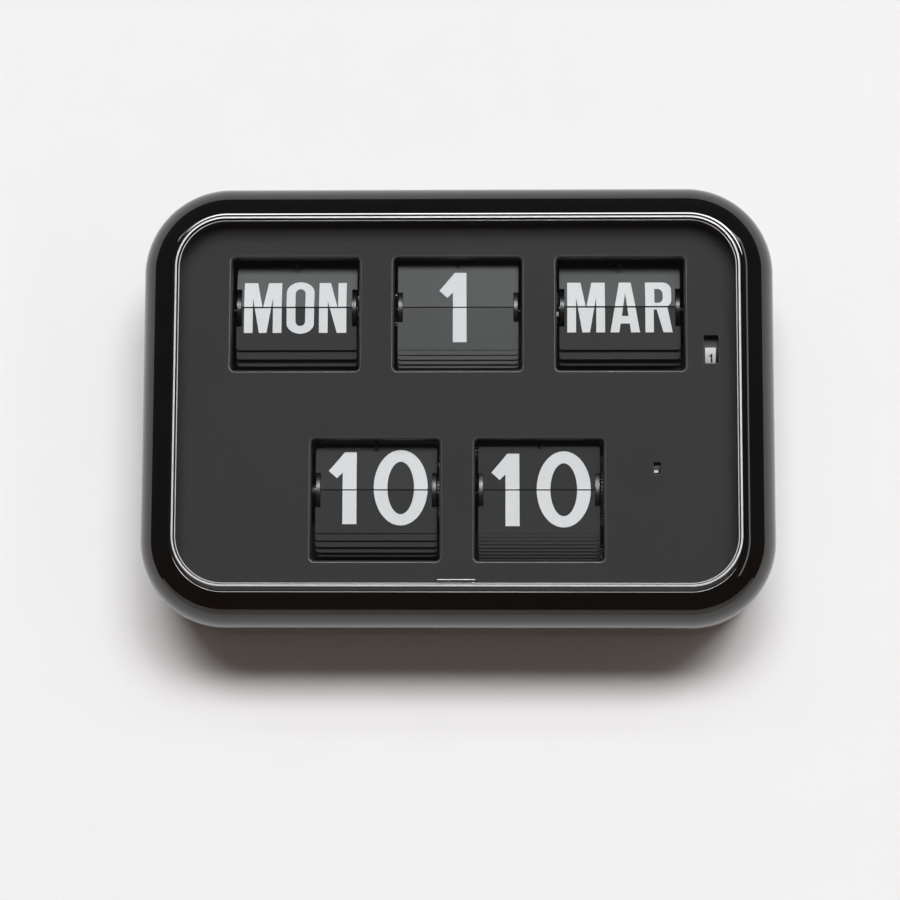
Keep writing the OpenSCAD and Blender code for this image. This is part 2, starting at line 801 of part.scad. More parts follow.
module seconds_arbor() {
    pinion_phase = mesh_phase(bearing(transfer_at, seconds_at), 0, transfer_teeth, seconds_teeth);
    color("#c9cdd0") {
        across(bridge_x - arbor_end, motor_x + frame_t + arbor_grip) translate(seconds_at) circle(arbor_r);
        across(wheel_x, wheel_x + gear_t)
            translate(seconds_at) gear_outline(seconds_teeth, pinion_phase, true);
    }
}

module seconds_drum() {
    color("#1d1d1e") difference() {
        across(seconds_x - seconds_w / 2, seconds_x + seconds_w / 2) translate(seconds_at) circle(seconds_r);
        across(seconds_x - seconds_w, seconds_x + seconds_w) translate(seconds_at) circle(arbor_r);
    }
}

module transfer_wheel() {
    leaf_phase = mesh_phase(bearing(minute_at, transfer_at), minute_phase, minute_teeth, transfer_leaves);
    pinion_x = module_x[MINUTE] + gear_in;
    color("#c8a24a") translate([0, transfer_at.x, transfer_at.y]) {
        across(pinion_x, motor_x + frame_t + arbor_end) circle(arbor_r);
        across(pinion_x, pinion_x + gear_t) gear_outline(transfer_leaves, leaf_phase, true);
        across(wheel_x, wheel_x + gear_t) gear_outline(transfer_teeth, 0, false);
    }
}

module minute_gear() {
    x0 = module_x[MINUTE] + gear_in;
    color("#e9e6da") difference() {
        union() {
            across(x0, x0 + gear_t) translate(minute_at) gear_outline(minute_teeth, minute_phase, false);
            across(module_x[MINUTE] + flange_out, x0) translate(minute_at) circle(hub_r);
        }
        across(module_x[MINUTE] + flange_out - cut, x0 + gear_t + cut)
            translate(minute_at) circle(shaft_r + run_clear);
    }
}

module carry_wheel() {
    x_minute = module_x[MINUTE] - gear_out;
    x_hour = module_x[HOUR] + gear_in;
    wheel_phase = mesh_phase(bearing(minute_at, carry_at), 0, carry_leaves, carry_teeth);
    leaf_phase = mesh_phase(bearing(hour_at, carry_at), 0, hour_teeth, hour_leaves);
    color("#c8a24a") translate([0, carry_at.x, carry_at.y]) {
        across(x_hour, x_minute + gear_t) circle(arbor_r);
        across(x_minute, x_minute + gear_t) gear_outline(carry_teeth, wheel_phase, false);
        across(x_hour, x_hour + gear_t) gear_outline(hour_leaves, leaf_phase, true);
    }
}

module setting_wheel() {
    x0 = module_x[MINUTE] + gear_in;
    phase = mesh_phase(bearing(minute_at, setting_at), minute_phase, minute_teeth, setting_teeth);
    color("#e9e6da") difference() {
        across(x0, x0 + gear_t) translate(setting_at) gear_outline(setting_teeth, phase, false);
        across(x0 - cut, x0 + gear_t + cut) translate(setting_at) circle(shaft_r + run_clear);
    }
}

module setting_arbor() {
    x0 = module_x[MINUTE] + gear_in - side_gap;
    x1 = module_x[MINUTE] + cheek_out;
    color("#c9cdd0") translate([0, setting_at.x, setting_at.y]) {
        across(x0, x1 + shaft_cap) circle(shaft_r);
        across(x1, x1 + shaft_cap) circle(shaft_r + shaft_cap);
    }
}

// Calendar drive

module rocker_arm(m) {
    target = axis_at(m);
    reach = norm(target - rocker_at) - star_r - side_gap;
    x0 = star_x(m) + arm_side;
    across(x0, x0 + gear_t - 2 * arm_side) translate(rocker_at) rotate(bearing(rocker_at, target)) {
        circle(rocker_r + rocker_hub);
        translate([0, -rocker_arm_w / 2]) square([reach, rocker_arm_w]);
    }
}

module calendar_rocker() {
    color("#9ea3a8") {
        across(star_x(HOUR) - rocker_end, star_x(MONTH) + gear_t + rocker_end)
            translate(rocker_at) circle(rocker_r);
        for (m = [WEEKDAY, DATE, MONTH, HOUR]) {
            rocker_arm(m);
        }
    }
}

module rocker_brackets() {
    color("#a9adb1") for (x = bracket_at) {
        difference() {
            union() {
                across(x, x + frame_t) {
                    translate([rocker_at.x, rocker_at.y - bracket_half])
                        square([-chassis_front - rocker_at.x, 2 * bracket_half]);
                    translate(rocker_at) circle(bracket_half);
                }
                slab(chassis_front, chassis_front + frame_t) translate([x, rocker_at.y - bracket_half])
                    square([bracket_foot, 2 * bracket_half]);
            }
            across(x - cut, x + frame_t + cut) translate(rocker_at) circle(rocker_r + run_clear);
        }
    }
}

module year_wheel() {
    color("#e4e4e1") difference() {
        across(year_x - year_w / 2, year_x + year_w / 2) translate(year_at) circle(year_r);
        across(year_x - year_w, year_x + year_w) translate(year_at) circle(shaft_r + run_clear);
    }
}

module year_bracket() {
    half = year_w / 2 + side_gap;
    color("#a9adb1") {
        across(year_x - half - frame_t, year_x + half + frame_t) translate(year_at) circle(shaft_r);
        for (x = [year_x - half - frame_t, year_x + half]) {
            across(x, x + frame_t) {
                translate(year_at) circle(year_lug);
                translate([-dial_back, year_mid - year_lug]) square([year_at.x + dial_back, 2 * year_lug]);
            }
        }
    }
}

// Leaf modules, drawn about the drum's axis

module at_drum(m) {
    translate([module_x[m], -axis_depth(m), module_z[m]]) children();
}

module flip_frame(m) {
    back = axis_depth(m) - chassis_front;
    bar = axis_depth(m) - bar_front;
    top = bar_z + bar_h;
    cheek = [
        [back, -frame_half], [back, frame_half], [-cheek_waist, frame_half], [bar + cheek_tip_d, top],
        [bar, top], [bar, top - cheek_tip_h], -cheek_nose, [-cheek_low, -frame_half]
    ];
    carry = carry_at - axis_at(m);
    setting = setting_at - axis_at(m);
    carry_side = m == MINUTE ? -1 : m == HOUR ? 1 : 0;
    color("#a9adb1") at_drum(m) difference() {
        union() {
            for (s = [-1, 1]) {
                x0 = s > 0 ? cheek_in : -cheek_out;
                across(x0, x0 + frame_t) {
                    polygon(cheek);
                    if (s == carry_side) {
                        translate(carry) circle(carry_lug_r);
                    }
                    if (m == MINUTE && s > 0) {
                        translate([setting.x - setting_lug, setting.y - setting_lug])
                            square([back - setting.x + setting_lug, -setting.y]);
                    }
                }
                across(s > 0 ? cheek_in : -cheek_out - foot_w, s > 0 ? cheek_out + foot_w : -cheek_in)
                    translate([back - frame_t, -frame_half]) square([frame_t, 2 * frame_half]);
            }
            across(-cheek_in, cheek_in) translate([bar, bar_z]) square([bar_depth, bar_h]);
            across(-cheek_in, cheek_in)
                translate([back - tie_in, frame_half - tie_in]) square([tie_t, tie_h]);
        }
        across(-cheek_out - cut, cheek_out + cut) circle(shaft_r + run_clear);
        if (carry_side != 0) {
            across(-cheek_out - cut, cheek_out + cut) translate(carry) circle(arbor_r + run_clear);
        }
        if (m == MINUTE) {
            across(0, cheek_out + cut) translate(setting) circle(shaft_r + run_clear);
        }
        for (s = [-1, 1]) {
            translate([s * foot_x, back + cut, 0]) rotate([90, 0, 0])
                cylinder(r = screw_r + screw_clear, h = frame_t + 2 * cut);
        }
    }
}

module flip_shaft(m) {
    color("#c9cdd0") at_drum(m) {
        across(-cheek_out - shaft_cap, cheek_out + shaft_cap) circle(shaft_r);
        for (x = [-cheek_out - shaft_cap, cheek_out]) {
            across(x, x + shaft_cap) circle(shaft_r + shaft_cap);
        }
    }
}

module flip_drum(m) {
    r = module_r[m];
    web = r - groove_in - hub_r;
    hole_at = hub_r + web / 2;
    hole_r = min(web / 2 - hole_wall, hole_at * sin(180 / spokes) - hole_wall);
    color("#d9d7cf") at_drum(m) difference() {
        union() {
            across(-flange_out, flange_out) circle(hub_r);
            for (s = [-1, 1]) {
                x0 = s > 0 ? flange_in : -flange_out;
                across(x0, x0 + flange_t) difference() {
                    circle(r + flange_rim);
                    for (k = [0 : spokes - 1]) {
                        rotate(360 * k / spokes) translate([hole_at, 0]) circle(hole_r);
                    }
                }
            }
            drum_drive(m);
        }
        for (s = [-1, 1]) {
            near = s > 0 ? flange_in - cut : -flange_in - groove_depth;
            across(near, near + groove_depth + cut) difference() {
                circle(r + groove_out);
                circle(r - groove_in);
            }
        }
        across(-gear_out - cut, gear_out + cut) circle(shaft_r + run_clear);
    }
}

// The toothed wheel or cam moulded on a drum's end, on a short hub
module drum_drive(m) {
    if (m == MINUTE) {
        across(-gear_out, -gear_in) gear_outline(carry_leaves, 0, true);
        across(-gear_in, -flange_out) circle(hub_r);
    } else {
        s = star_side[m];
        across(s > 0 ? gear_in : -gear_out, s > 0 ? gear_out : -gear_in) {
            if (m == HOUR) {
                translate([cam_lift, 0]) circle(star_r - cam_lift);
            } else {
                star_outline(module_count[m]);
            }
        }
        across(s > 0 ? flange_out : -gear_in, s > 0 ? gear_in : -flange_out) circle(hub_r);
    }
    if (m == HOUR) {
        across(gear_in, gear_out) gear_outline(hour_teeth, 0, false);
        across(flange_out, gear_in) circle(hub_r);
    }
}

// One leaf from its pivot, as an outline whose y runs along the leaf
module leaf_outline(m) {
    half = leaf_w / 2;
    ear = flange_in + ear_len;
    n = notch_len(m);
    side = half - leaf_corner;
    edge = free_len(m) - leaf_corner;
    right = [
        [neck_half, -tail_len(m)], [neck_half, -ear_h / 2], [ear, -ear_h / 2], [ear, ear_h / 2],
        [neck_half, ear_h / 2], [neck_half, n], [half, n], [half, edge], [side, free_len(m)]
    ];
    count = len(right);
    polygon([for (p = right) p, for (k = [1 : count]) [-right[count - k].x, right[count - k].y]]);
    for (s = [-1, 1]) {
        translate([s * side, edge]) circle(leaf_corner);
    }
}

// A leaf whose pivot is at an angle below the front of the drum, pointing at a tilt back from upright
module leaf(m, below, tilt) {
    translate([0, -module_r[m] * cos(below), -module_r[m] * sin(below)]) rotate([-tilt, 0, 0])
        translate([0, leaf_t / 2, 0]) rotate([90, 0, 0]) linear_extrude(leaf_t) leaf_outline(m);
}

// Leaves on the lower half hang straight down, the others lean on the pivot behind them
function leaf_tilt(m, below) = below < 179.99 ? 180 : 360 - below + lean(m);

module flip_leaves(m) {
    color("#4a4b4e") at_drum(m) {
        for (k = [0 : module_count[m] - 2]) {
            below = pitch(m) * (k + 0.5);
            leaf(m, below, leaf_tilt(m, below));
        }
    }
}

module flip_top_leaf(m) {
    below = 360 - pitch(m) / 2;
    color("#5a5d63") at_drum(m) leaf(m, below, leaf_tilt(m, below));
}

module flip_finger(m) {
    below = 360 - pitch(m) / 2;
    edge_z = free_len(m) * cos(leaf_tilt(m, below)) + chord(m) / 2;
    low = edge_z - finger_lap;
    wide = 3 * finger_w;
    color("#2b2b2c") translate([module_x[m], 0, module_z[m]]) slab(bar_front, bar_front + finger_t) polygon([
        [-finger_w / 2, low], [finger_w / 2, low], [finger_w / 2, bar_z - finger_shoulder], [wide / 2, bar_z],
        [wide / 2, bar_z + bar_h], [-wide / 2, bar_z + bar_h], [-wide / 2, bar_z],
        [-finger_w / 2, bar_z - finger_shoulder]
    ]);
}

at_case() case_shell();
at_case() lens_cover();
at_case() dial_panel();
at_case() rear_cover();
at_case() hanger_plate();
at_case() wall_pads();
at_case() battery_door();
at_case() battery_tray();
at_case() battery_cell();
at_case() battery_spring();
at_case() battery_contact();
at_case() rear_cover_screws();
at_case() dial_screws();
at_case() frame_screws();
at_case() chassis_plate();
at_case() chassis_pillars();
at_case() gear_bridge();
at_case() quartz_motor();
at_case() seconds_arbor();
at_case() seconds_drum();
at_case() transfer_wheel();
at_case() minute_gear();
at_case() carry_wheel();
at_case() setting_wheel();
at_case() setting_arbor();
at_case() calendar_rocker();
at_case() rocker_brackets();
at_case() year_wheel();
at_case() year_bracket();
at_case() flip_frame(WEEKDAY);  // weekday_frame
at_case() flip_shaft(WEEKDAY);  // weekday_shaft
at_case() flip_drum(WEEKDAY);  // weekday_drum
at_case() flip_leaves(WEEKDAY);  // weekday_leaves
at_case() flip_top_leaf(WEEKDAY);  // weekday_top_leaf
at_case() flip_finger(WEEKDAY);  // weekday_finger
at_case() flip_frame(DATE);  // date_frame
at_case() flip_shaft(DATE);  // date_shaft
at_case() flip_drum(DATE);  // date_drum
at_case() flip_leaves(DATE);  // date_leaves
at_case() flip_top_leaf(DATE);  // date_top_leaf
at_case() flip_finger(DATE);  // date_finger
at_case() flip_frame(MONTH);  // month_frame
at_case() flip_shaft(MONTH);  // month_shaft
at_case() flip_drum(MONTH);  // month_drum
at_case() flip_leaves(MONTH);  // month_leaves
at_case() flip_top_leaf(MONTH);  // month_top_leaf
at_case() flip_finger(MONTH);  // month_finger
at_case() flip_frame(HOUR);  // hour_frame
at_case() flip_shaft(HOUR);  // hour_shaft
at_case() flip_drum(HOUR);  // hour_drum
at_case() flip_leaves(HOUR);  // hour_leaves
at_case() flip_top_leaf(HOUR);  // hour_top_leaf
at_case() flip_finger(HOUR);  // hour_finger
at_case() flip_frame(MINUTE);  // minute_frame
at_case() flip_shaft(MINUTE);  // minute_shaft
at_case() flip_drum(MINUTE);  // minute_drum
at_case() flip_leaves(MINUTE);  // minute_leaves
at_case() flip_top_leaf(MINUTE);  // minute_top_leaf
at_case() flip_finger(MINUTE);  // minute_finger
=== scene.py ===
# %% [markdown]
# # A wall flip clock, dressed in Blender
# The clock comes in as a finished mechanical model: every piece sits at its real place, in metres, with the
# front facing -Y and the wall at Y = 0. This lesson gives that model its looks. Pieces whose shape is
# already right only get a finish. The case, the lens and the dial are modelled again, because their round
# edges are what catches the light, and the print on the leaves is added.

# %% The frame
import json
import math

import bmesh
import bpy
from mathutils import Matrix, Quaternion, Vector
from mathutils.bvhtree import BVHTree


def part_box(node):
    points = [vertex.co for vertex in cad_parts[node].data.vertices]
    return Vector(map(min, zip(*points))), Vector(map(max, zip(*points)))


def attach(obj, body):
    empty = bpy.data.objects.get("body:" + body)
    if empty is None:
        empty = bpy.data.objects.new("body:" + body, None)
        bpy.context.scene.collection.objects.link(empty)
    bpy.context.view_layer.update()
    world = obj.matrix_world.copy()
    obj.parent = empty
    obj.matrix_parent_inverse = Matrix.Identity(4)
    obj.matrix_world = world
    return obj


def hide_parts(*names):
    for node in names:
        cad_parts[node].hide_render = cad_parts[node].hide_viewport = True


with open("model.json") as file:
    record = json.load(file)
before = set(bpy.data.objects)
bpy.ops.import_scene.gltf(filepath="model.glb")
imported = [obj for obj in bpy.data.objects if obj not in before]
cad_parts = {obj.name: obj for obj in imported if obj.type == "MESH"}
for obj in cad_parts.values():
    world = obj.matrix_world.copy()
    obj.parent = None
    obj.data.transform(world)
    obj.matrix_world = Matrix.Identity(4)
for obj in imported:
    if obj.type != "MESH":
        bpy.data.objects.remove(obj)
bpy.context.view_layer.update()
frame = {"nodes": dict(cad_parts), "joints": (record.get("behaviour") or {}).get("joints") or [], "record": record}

MM = 0.001
UPPER_ROW = ["weekday", "date", "month"]
LOWER_ROW = ["hour", "minute"]
MODULES = UPPER_ROW + LOWER_ROW

case_low, case_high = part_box("case_shell")
case_mid = (case_low + case_high) / 2
print("case", [round(v / MM, 1) for v in case_high - case_low], "mm")

# %% [markdown]
# ## Camera
# The photograph was taken a little from below and from the right, from about one and a third metres. A long
# lens keeps the sides of the case nearly parallel. The small shift only moves the picture in its frame, as a
# view camera does, and the small roll is there because the photograph isn't quite level. Angles to the right
# and up, seen from the clock, say where the camera stands, and later where the lamps stand.

# %% Camera
PICTURE_SIDE = 900  # pixels, as are the two shifts
PICTURE_RIGHT = 9.0
PICTURE_UP = 36.6
VIEW_FROM_BELOW = math.radians(7.5)
VIEW_FROM_RIGHT = math.radians(1.5)
VIEW_ROLL = math.radians(0.15)
VIEW_REACH = 1355 * MM
FOCAL_LENGTH = 105


def aim(thing, right, up, reach, roll=0.0):
    """Stands a camera or a lamp round the clock, by its angles to the right and up, facing the clock."""
    line = Vector((math.sin(right) * math.cos(up), -math.cos(right) * math.cos(up), math.sin(up)))
    thing.location = case_mid + reach * line
    turn = (-line).to_track_quat("-Z", "Y") @ Quaternion((0, 0, 1), roll)
    thing.rotation_euler = turn.to_euler()


camera_data = bpy.data.cameras.new("camera")
camera_data.lens = FOCAL_LENGTH
camera_data.shift_x = -PICTURE_RIGHT / PICTURE_SIDE
camera_data.shift_y = -PICTURE_UP / PICTURE_SIDE
camera = bpy.data.objects.new("camera", camera_data)
bpy.context.scene.collection.objects.link(camera)
aim(camera, VIEW_FROM_RIGHT, -VIEW_FROM_BELOW, VIEW_REACH, VIEW_ROLL)
bpy.context.scene.camera = camera
bpy.context.scene.view_settings.view_transform = "Standard"
print("camera at", [round(v, 3) for v in camera.location])

# %% [markdown]
# ## Helpers for meshes
# Nearly everything on this clock is a rounded rectangle: the case, the lens, the dial and its windows. So
# one helper draws a profile once and carries it round such a rectangle: a quarter spin at every corner, and
# an extrusion along every side. Profiles are given as pairs of numbers: how far out from the corner's
# centre, and how far from the wall.

# %% Arcs
def bend(x, y, half_w, half_h, start, stop, steps=8):
    """Points of an elliptical arc, with angles in degrees."""
    angles = [math.radians(start + (stop - start) * i / steps) for i in range(steps + 1)]
    return [(x + half_w * math.cos(a), y + half_h * math.sin(a)) for a in angles]


def arc(out, depth, radius, start, stop, steps):
    """Points of a round arc in a profile, with angles in degrees from straight out towards the front."""
    return bend(out, depth, radius, radius, start, stop, steps)


# %% Profiles carried round
CORNER_STEPS = 24
# Points closer than the first are merged, and depths closer than the second count as equal.
WELD = 0.002 * MM
NEAR = 0.001 * MM
CORNERS = [(1, 1), (-1, 1), (-1, -1), (1, -1)]


def edges_in(geometry):
    """The edges among what an operator returns."""
    return [part for part in geometry if isinstance(part, bmesh.types.BMEdge)]


def sweep_round(bm, profile, middle, half_w, half_h, closed=False, steps=CORNER_STEPS):
    """Carries a profile round a rounded rectangle. half_w and half_h reach to the corners' centres."""
    x, z = middle
    verts = [bm.verts.new((x + half_w + out, -depth, z + half_h)) for out, depth in profile]
    ends = verts[1:] + (verts[:1] if closed else [])
    loop = [bm.edges.new(pair) for pair in zip(verts, ends)]
    sides = [(-2 * half_w, 0), (0, -2 * half_h), (2 * half_w, 0), (0, 2 * half_h)]
    for corner, side in zip(CORNERS, sides):
        centre = (x + corner[0] * half_w, 0, z + corner[1] * half_h)
        spun = bmesh.ops.spin(bm, geom=loop, cent=centre, axis=(0, -1, 0), angle=math.pi / 2, steps=steps)
        pulled = bmesh.ops.extrude_edge_only(bm, edges=edges_in(spun["geom_last"]))["geom"]
        new = {v for v in pulled if isinstance(v, bmesh.types.BMVert)}
        bmesh.ops.translate(bm, verts=list(new), vec=(side[0], 0, side[1]))
        loop = [e for e in edges_in(pulled) if set(e.verts) <= new]
    bmesh.ops.remove_doubles(bm, verts=bm.verts[:], dist=WELD)


# %% Edges and pieces
def open_edges(bm, depth):
    """The open edges that lie in one plane, at a depth in front of the wall."""
    return [e for e in bm.edges if e.is_boundary and all(abs(v.co.y + depth) < NEAR for v in e.verts)]


def edges_among(bm, verts):
    """The edges between some vertices, in the order of the mesh."""
    chosen = set(verts)
    return [e for e in bm.edges if chosen.issuperset(e.verts)]


def face_front(bm):
    """Turns every face of a flat mesh to the front."""
    for face in bm.faces:
        face.normal_update()
        if face.normal.y > 0:
            face.normal_flip()


def add_object(bm, name, materials):
    """Turns a bmesh into an object at the origin."""
    mesh = bpy.data.meshes.new(name)
    bm.to_mesh(mesh)
    bm.free()
    for material in materials:
        mesh.materials.append(material)
    made = bpy.data.objects.new(name, mesh)
    bpy.context.scene.collection.objects.link(made)
    return made


def make_piece(bm, name, materials, body, sharp=32, weighted=False):
    """Closes a bmesh into a smooth piece that rides on a body. Edges past sharp degrees stay crisp."""
    bmesh.ops.remove_doubles(bm, verts=bm.verts[:], dist=WELD)
    bmesh.ops.recalc_face_normals(bm, faces=bm.faces[:])
    piece = add_object(bm, name, materials)
    piece.data.shade_smooth()
    piece.data.set_sharp_from_angle(angle=math.radians(sharp))
    if weighted:
        soften = piece.modifiers.new("even_shading", "WEIGHTED_NORMAL")
        soften.keep_sharp = True
    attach(piece, body)
    return piece


# %% [markdown]
# ## Finishes
# Real plastic is never one flat colour. Each finish below starts from the same small recipe: a noise on
# Object coordinates drives a narrow colour ramp, a little roughness and, on grained surfaces, a fine bump.
# The numbers differ: gloss for the case, a satin grain for the dial, long brush lines for sheet steel.

# %% Finish recipe
NOISE_DETAIL = 4
RAMP_ENDS = (0.3, 0.7)
RELIEF = 0.05 * MM


def set_ramp(ramp, ends, colours):
    """Gives the two ends of a colour ramp their places and colours."""
    for stop, place, colour in zip(ramp.color_ramp.elements, ends, colours):
        stop.position = place
        stop.color = (*colour, 1)


def grained(name, dark, light, rough, grain=900, bump=0.0, stretch=(1, 1, 1), metallic=0.0, shine=0.5):
    """A finish whose colour and roughness wander between two values.

    grain is the scale of the noise, and stretch packs it along an axis, into brush lines."""
    material = bpy.data.materials.new(name)
    material.use_nodes = True
    nodes = material.node_tree.nodes
    links = material.node_tree.links
    shader = nodes["Principled BSDF"]
    place = nodes.new("ShaderNodeTexCoord")
    turn = nodes.new("ShaderNodeMapping")
    turn.inputs["Scale"].default_value = stretch
    noise = nodes.new("ShaderNodeTexNoise")
    noise.inputs["Scale"].default_value = grain
    noise.inputs["Detail"].default_value = NOISE_DETAIL
    ramp = nodes.new("ShaderNodeValToRGB")
    set_ramp(ramp, RAMP_ENDS, (dark, light))
    spread = nodes.new("ShaderNodeMapRange")
    spread.inputs["To Min"].default_value = rough[0]
    spread.inputs["To Max"].default_value = rough[1]
    links.new(place.outputs["Object"], turn.inputs["Vector"])
    links.new(turn.outputs["Vector"], noise.inputs["Vector"])
    links.new(noise.outputs["Fac"], ramp.inputs["Fac"])
    links.new(noise.outputs["Fac"], spread.inputs["Value"])
    links.new(ramp.outputs["Color"], shader.inputs["Base Color"])
    links.new(spread.outputs["Result"], shader.inputs["Roughness"])
    shader.inputs["Metallic"].default_value = metallic
    shader.inputs["Specular IOR Level"].default_value = shine
    if bump:
        relief = nodes.new("ShaderNodeBump")
        relief.inputs["Strength"].default_value = bump
        relief.inputs["Distance"].default_value = RELIEF
        links.new(noise.outputs["Fac"], relief.inputs["Height"])
        links.new(relief.outputs["Normal"], shader.inputs["Normal"])
    return material


def grey(value, cool=0.0):
    """A grey that leans to blue by a share."""
    return (value, value * (1 + cool / 2), value * (1 + cool))


# %% Finishes by material slot
FINISHES = {
    "case_black": grained("gloss_black", grey(0.0012), grey(0.0022), (0.03, 0.06), grain=60, shine=0.8),
    "dial_grey": grained("dial_satin", grey(0.030), grey(0.036), (0.55, 0.68),
                         grain=2500, bump=0.25, shine=0.15),
    # The leaf plastic leans blue: a painted reflection of cool light from above.
    "leaf_plastic": grained("leaf_satin", grey(0.037, 0.14), grey(0.044, 0.14), (0.42, 0.48),
                            grain=1800, shine=0.28),
    "back_black": grained("back_grain", grey(0.014), grey(0.022), (0.5, 0.65), grain=1500, bump=0.5),
    "drum_metal": grained("dark_turned_metal", grey(0.045, 0.03), grey(0.07, 0.03), (0.28, 0.4),
                          grain=500, stretch=(6, 1, 1), metallic=1),
    "gear_plastic": grained("gear_nylon", (0.72, 0.69, 0.6), (0.8, 0.77, 0.68), (0.4, 0.5), grain=700),
    "sheet_steel": grained("zinc_sheet", grey(0.42, 0.06), grey(0.58, 0.06), (0.3, 0.45),
                           grain=300, stretch=(1, 1, 14), metallic=1),
    "bright_steel": grained("ground_steel", grey(0.6, 0.03), grey(0.72, 0.03), (0.14, 0.24),
                            grain=600, stretch=(1, 8, 8), metallic=1),
    "finger_black": grained("blued_steel", grey(0.005), grey(0.009), (0.65, 0.75), grain=900, shine=0.05),
    "motor_white": grained("motor_moulding", (0.7, 0.68, 0.61), (0.78, 0.76, 0.69), (0.45, 0.55), grain=800),
    "cell_jacket": grained("cell_sleeve", grey(0.05), grey(0.075), (0.3, 0.4), grain=400),
    "pad_rubber": grained("pad_rubber", grey(0.016), grey(0.026), (0.7, 0.85), grain=1600, bump=0.6),
    "year_white": grained("year_white", grey(0.66), grey(0.74), (0.45, 0.55), grain=900),
}
print(len(FINISHES), "finishes")

# %% [markdown]
# ## Dressing the works
# The record of the clock says which material slot every piece takes, and a loop hands out the finishes by
# that list. The works that can be seen beside the leaves get dark finishes of their own, and so does the drum
# behind the seconds window. The wheel behind the year window is dark as well: painted shade round its white
# labels. The leaves are copies of one plastic, lit and shaded in their colour: the top leaves of the weekday
# and the month are lighter, a painted sheen of the light from above, and the other leaves of those windows
# and all those of the hour and the minute are darker, painted shade.

# %% Finishes of their own
# Dark finishes for the works seen beside the leaves, and for the seconds drum.
black_sheet = grained("dark_sheet", grey(0.012), grey(0.022), (0.45, 0.6),
                      grain=300, stretch=(1, 1, 14))
black_steel = grained("dark_steel", grey(0.03), grey(0.05), (0.3, 0.42),
                      grain=600, stretch=(1, 8, 8), metallic=1)
black_nylon = grained("gear_black", grey(0.012), grey(0.02), (0.4, 0.5), grain=700)
dark_bronze = grained("dark_bronze", (0.010, 0.009, 0.007), (0.016, 0.014, 0.011), (0.3, 0.42),
                      grain=500, stretch=(8, 1, 1), metallic=1)
# A darker copy of the leaf plastic: painted shade.
shade_painted_leaf = grained("leaf_painted_shade", grey(0.026, 0.06), grey(0.031, 0.06), (0.5, 0.56),
                    grain=1800, shine=0.15)
# A lighter copy of the leaf plastic: painted sheen of the light from above on the tilted top leaves.
sheen_painted_leaf = grained("leaf_painted_sheen", grey(0.054, 0.1), grey(0.062, 0.1), (0.42, 0.48),
                     grain=1800, shine=0.4)
seconds_black = grained("seconds_black", grey(0.006), grey(0.01), (0.5, 0.6), grain=1200)
# The year wheel is dark: painted shade round its white labels.
painted_year_shade = grained("painted_year_shade", grey(0.012), grey(0.02), (0.5, 0.6), grain=900)

# %% Dress the pieces that stay
DRESSED_IN = {
    black_sheet: ["calendar_rocker", "rocker_brackets", "gear_bridge", "chassis_plate", "year_bracket",
                  *[m + "_frame" for m in MODULES]],
    black_steel: ["chassis_pillars", "frame_screws", "seconds_arbor", "setting_arbor",
                  *[m + "_shaft" for m in MODULES]],
    black_nylon: ["minute_gear"],
    dark_bronze: ["carry_wheel", "transfer_wheel"],
    shade_painted_leaf: ["weekday_leaves", "month_leaves", "hour_leaves", "minute_leaves",
                *[m + "_top_leaf" for m in LOWER_ROW]],
    sheen_painted_leaf: ["weekday_top_leaf", "month_top_leaf"],
    seconds_black: ["seconds_drum"],
    painted_year_shade: ["year_wheel"],
}
own_finish = {node: finish for finish, nodes in DRESSED_IN.items() for node in nodes}
slot_of = {part["node"]: part["material_slot"] for part in frame["record"]["subparts"]}
dressed = 0
for node, piece in frame["nodes"].items():
    finish = own_finish.get(node) or FINISHES.get(slot_of[node])
    if finish:
        piece.data.materials.clear()
        piece.data.materials.append(finish)
        dressed += 1
print(dressed, "pieces dressed,", len(own_finish), "of them in a finish of their own")

# %% [markdown]
# ## Clear plastic
# A solid of glass would keep the lamps' light out, since light through glass is slow to find. A lens this
# thin hardly bends the view, so its finish lets light straight through and only mixes in a mirror: two parts
# in a hundred face on, rising steeply towards the edge of sight. Its polished edges gather light and look
# white, so they get a white finish of their own: painted light.

# %% Lens finishes
LENS_MIRROR = 0.022
MIRROR_RISE = 5
MIRROR_ROUGH = 0.015
HAZE_SCALE = 25
CLEAR_TINTS = ((0.955, 0.96, 0.96), (0.985, 0.985, 0.98))
EDGE_ALPHA = 0.9


def clear_finish():
    """Straight through, with a mirror that grows as the view grazes the surface."""
    material = bpy.data.materials.new("lens_clear")
    material.use_nodes = True
    nodes = material.node_tree.nodes
    links = material.node_tree.links
    nodes.remove(nodes["Principled BSDF"])
    through = nodes.new("ShaderNodeBsdfTransparent")
    mirror = nodes.new("ShaderNodeBsdfGlossy")
    mirror.inputs["Roughness"].default_value = MIRROR_ROUGH
    facing = nodes.new("ShaderNodeLayerWeight")
    steep = nodes.new("ShaderNodeMath")
    steep.operation = "POWER"
    steep.inputs[1].default_value = MIRROR_RISE
    share = nodes.new("ShaderNodeMapRange")
    share.inputs["To Min"].default_value = LENS_MIRROR
    mix = nodes.new("ShaderNodeMixShader")
    haze = nodes.new("ShaderNodeTexNoise")
    haze.inputs["Scale"].default_value = HAZE_SCALE
    tint = nodes.new("ShaderNodeValToRGB")
    set_ramp(tint, (0, 1), CLEAR_TINTS)
    place = nodes.new("ShaderNodeTexCoord")
    links.new(place.outputs["Object"], haze.inputs["Vector"])
    links.new(haze.outputs["Fac"], tint.inputs["Fac"])
    links.new(tint.outputs["Color"], through.inputs["Color"])
    links.new(facing.outputs["Facing"], steep.inputs[0])
    links.new(steep.outputs["Value"], share.inputs["Value"])
    links.new(share.outputs["Result"], mix.inputs["Fac"])
    links.new(through.outputs["BSDF"], mix.inputs[1])
    links.new(mirror.outputs["BSDF"], mix.inputs[2])
    links.new(mix.outputs["Shader"], nodes["Material Output"].inputs["Surface"])
    return material


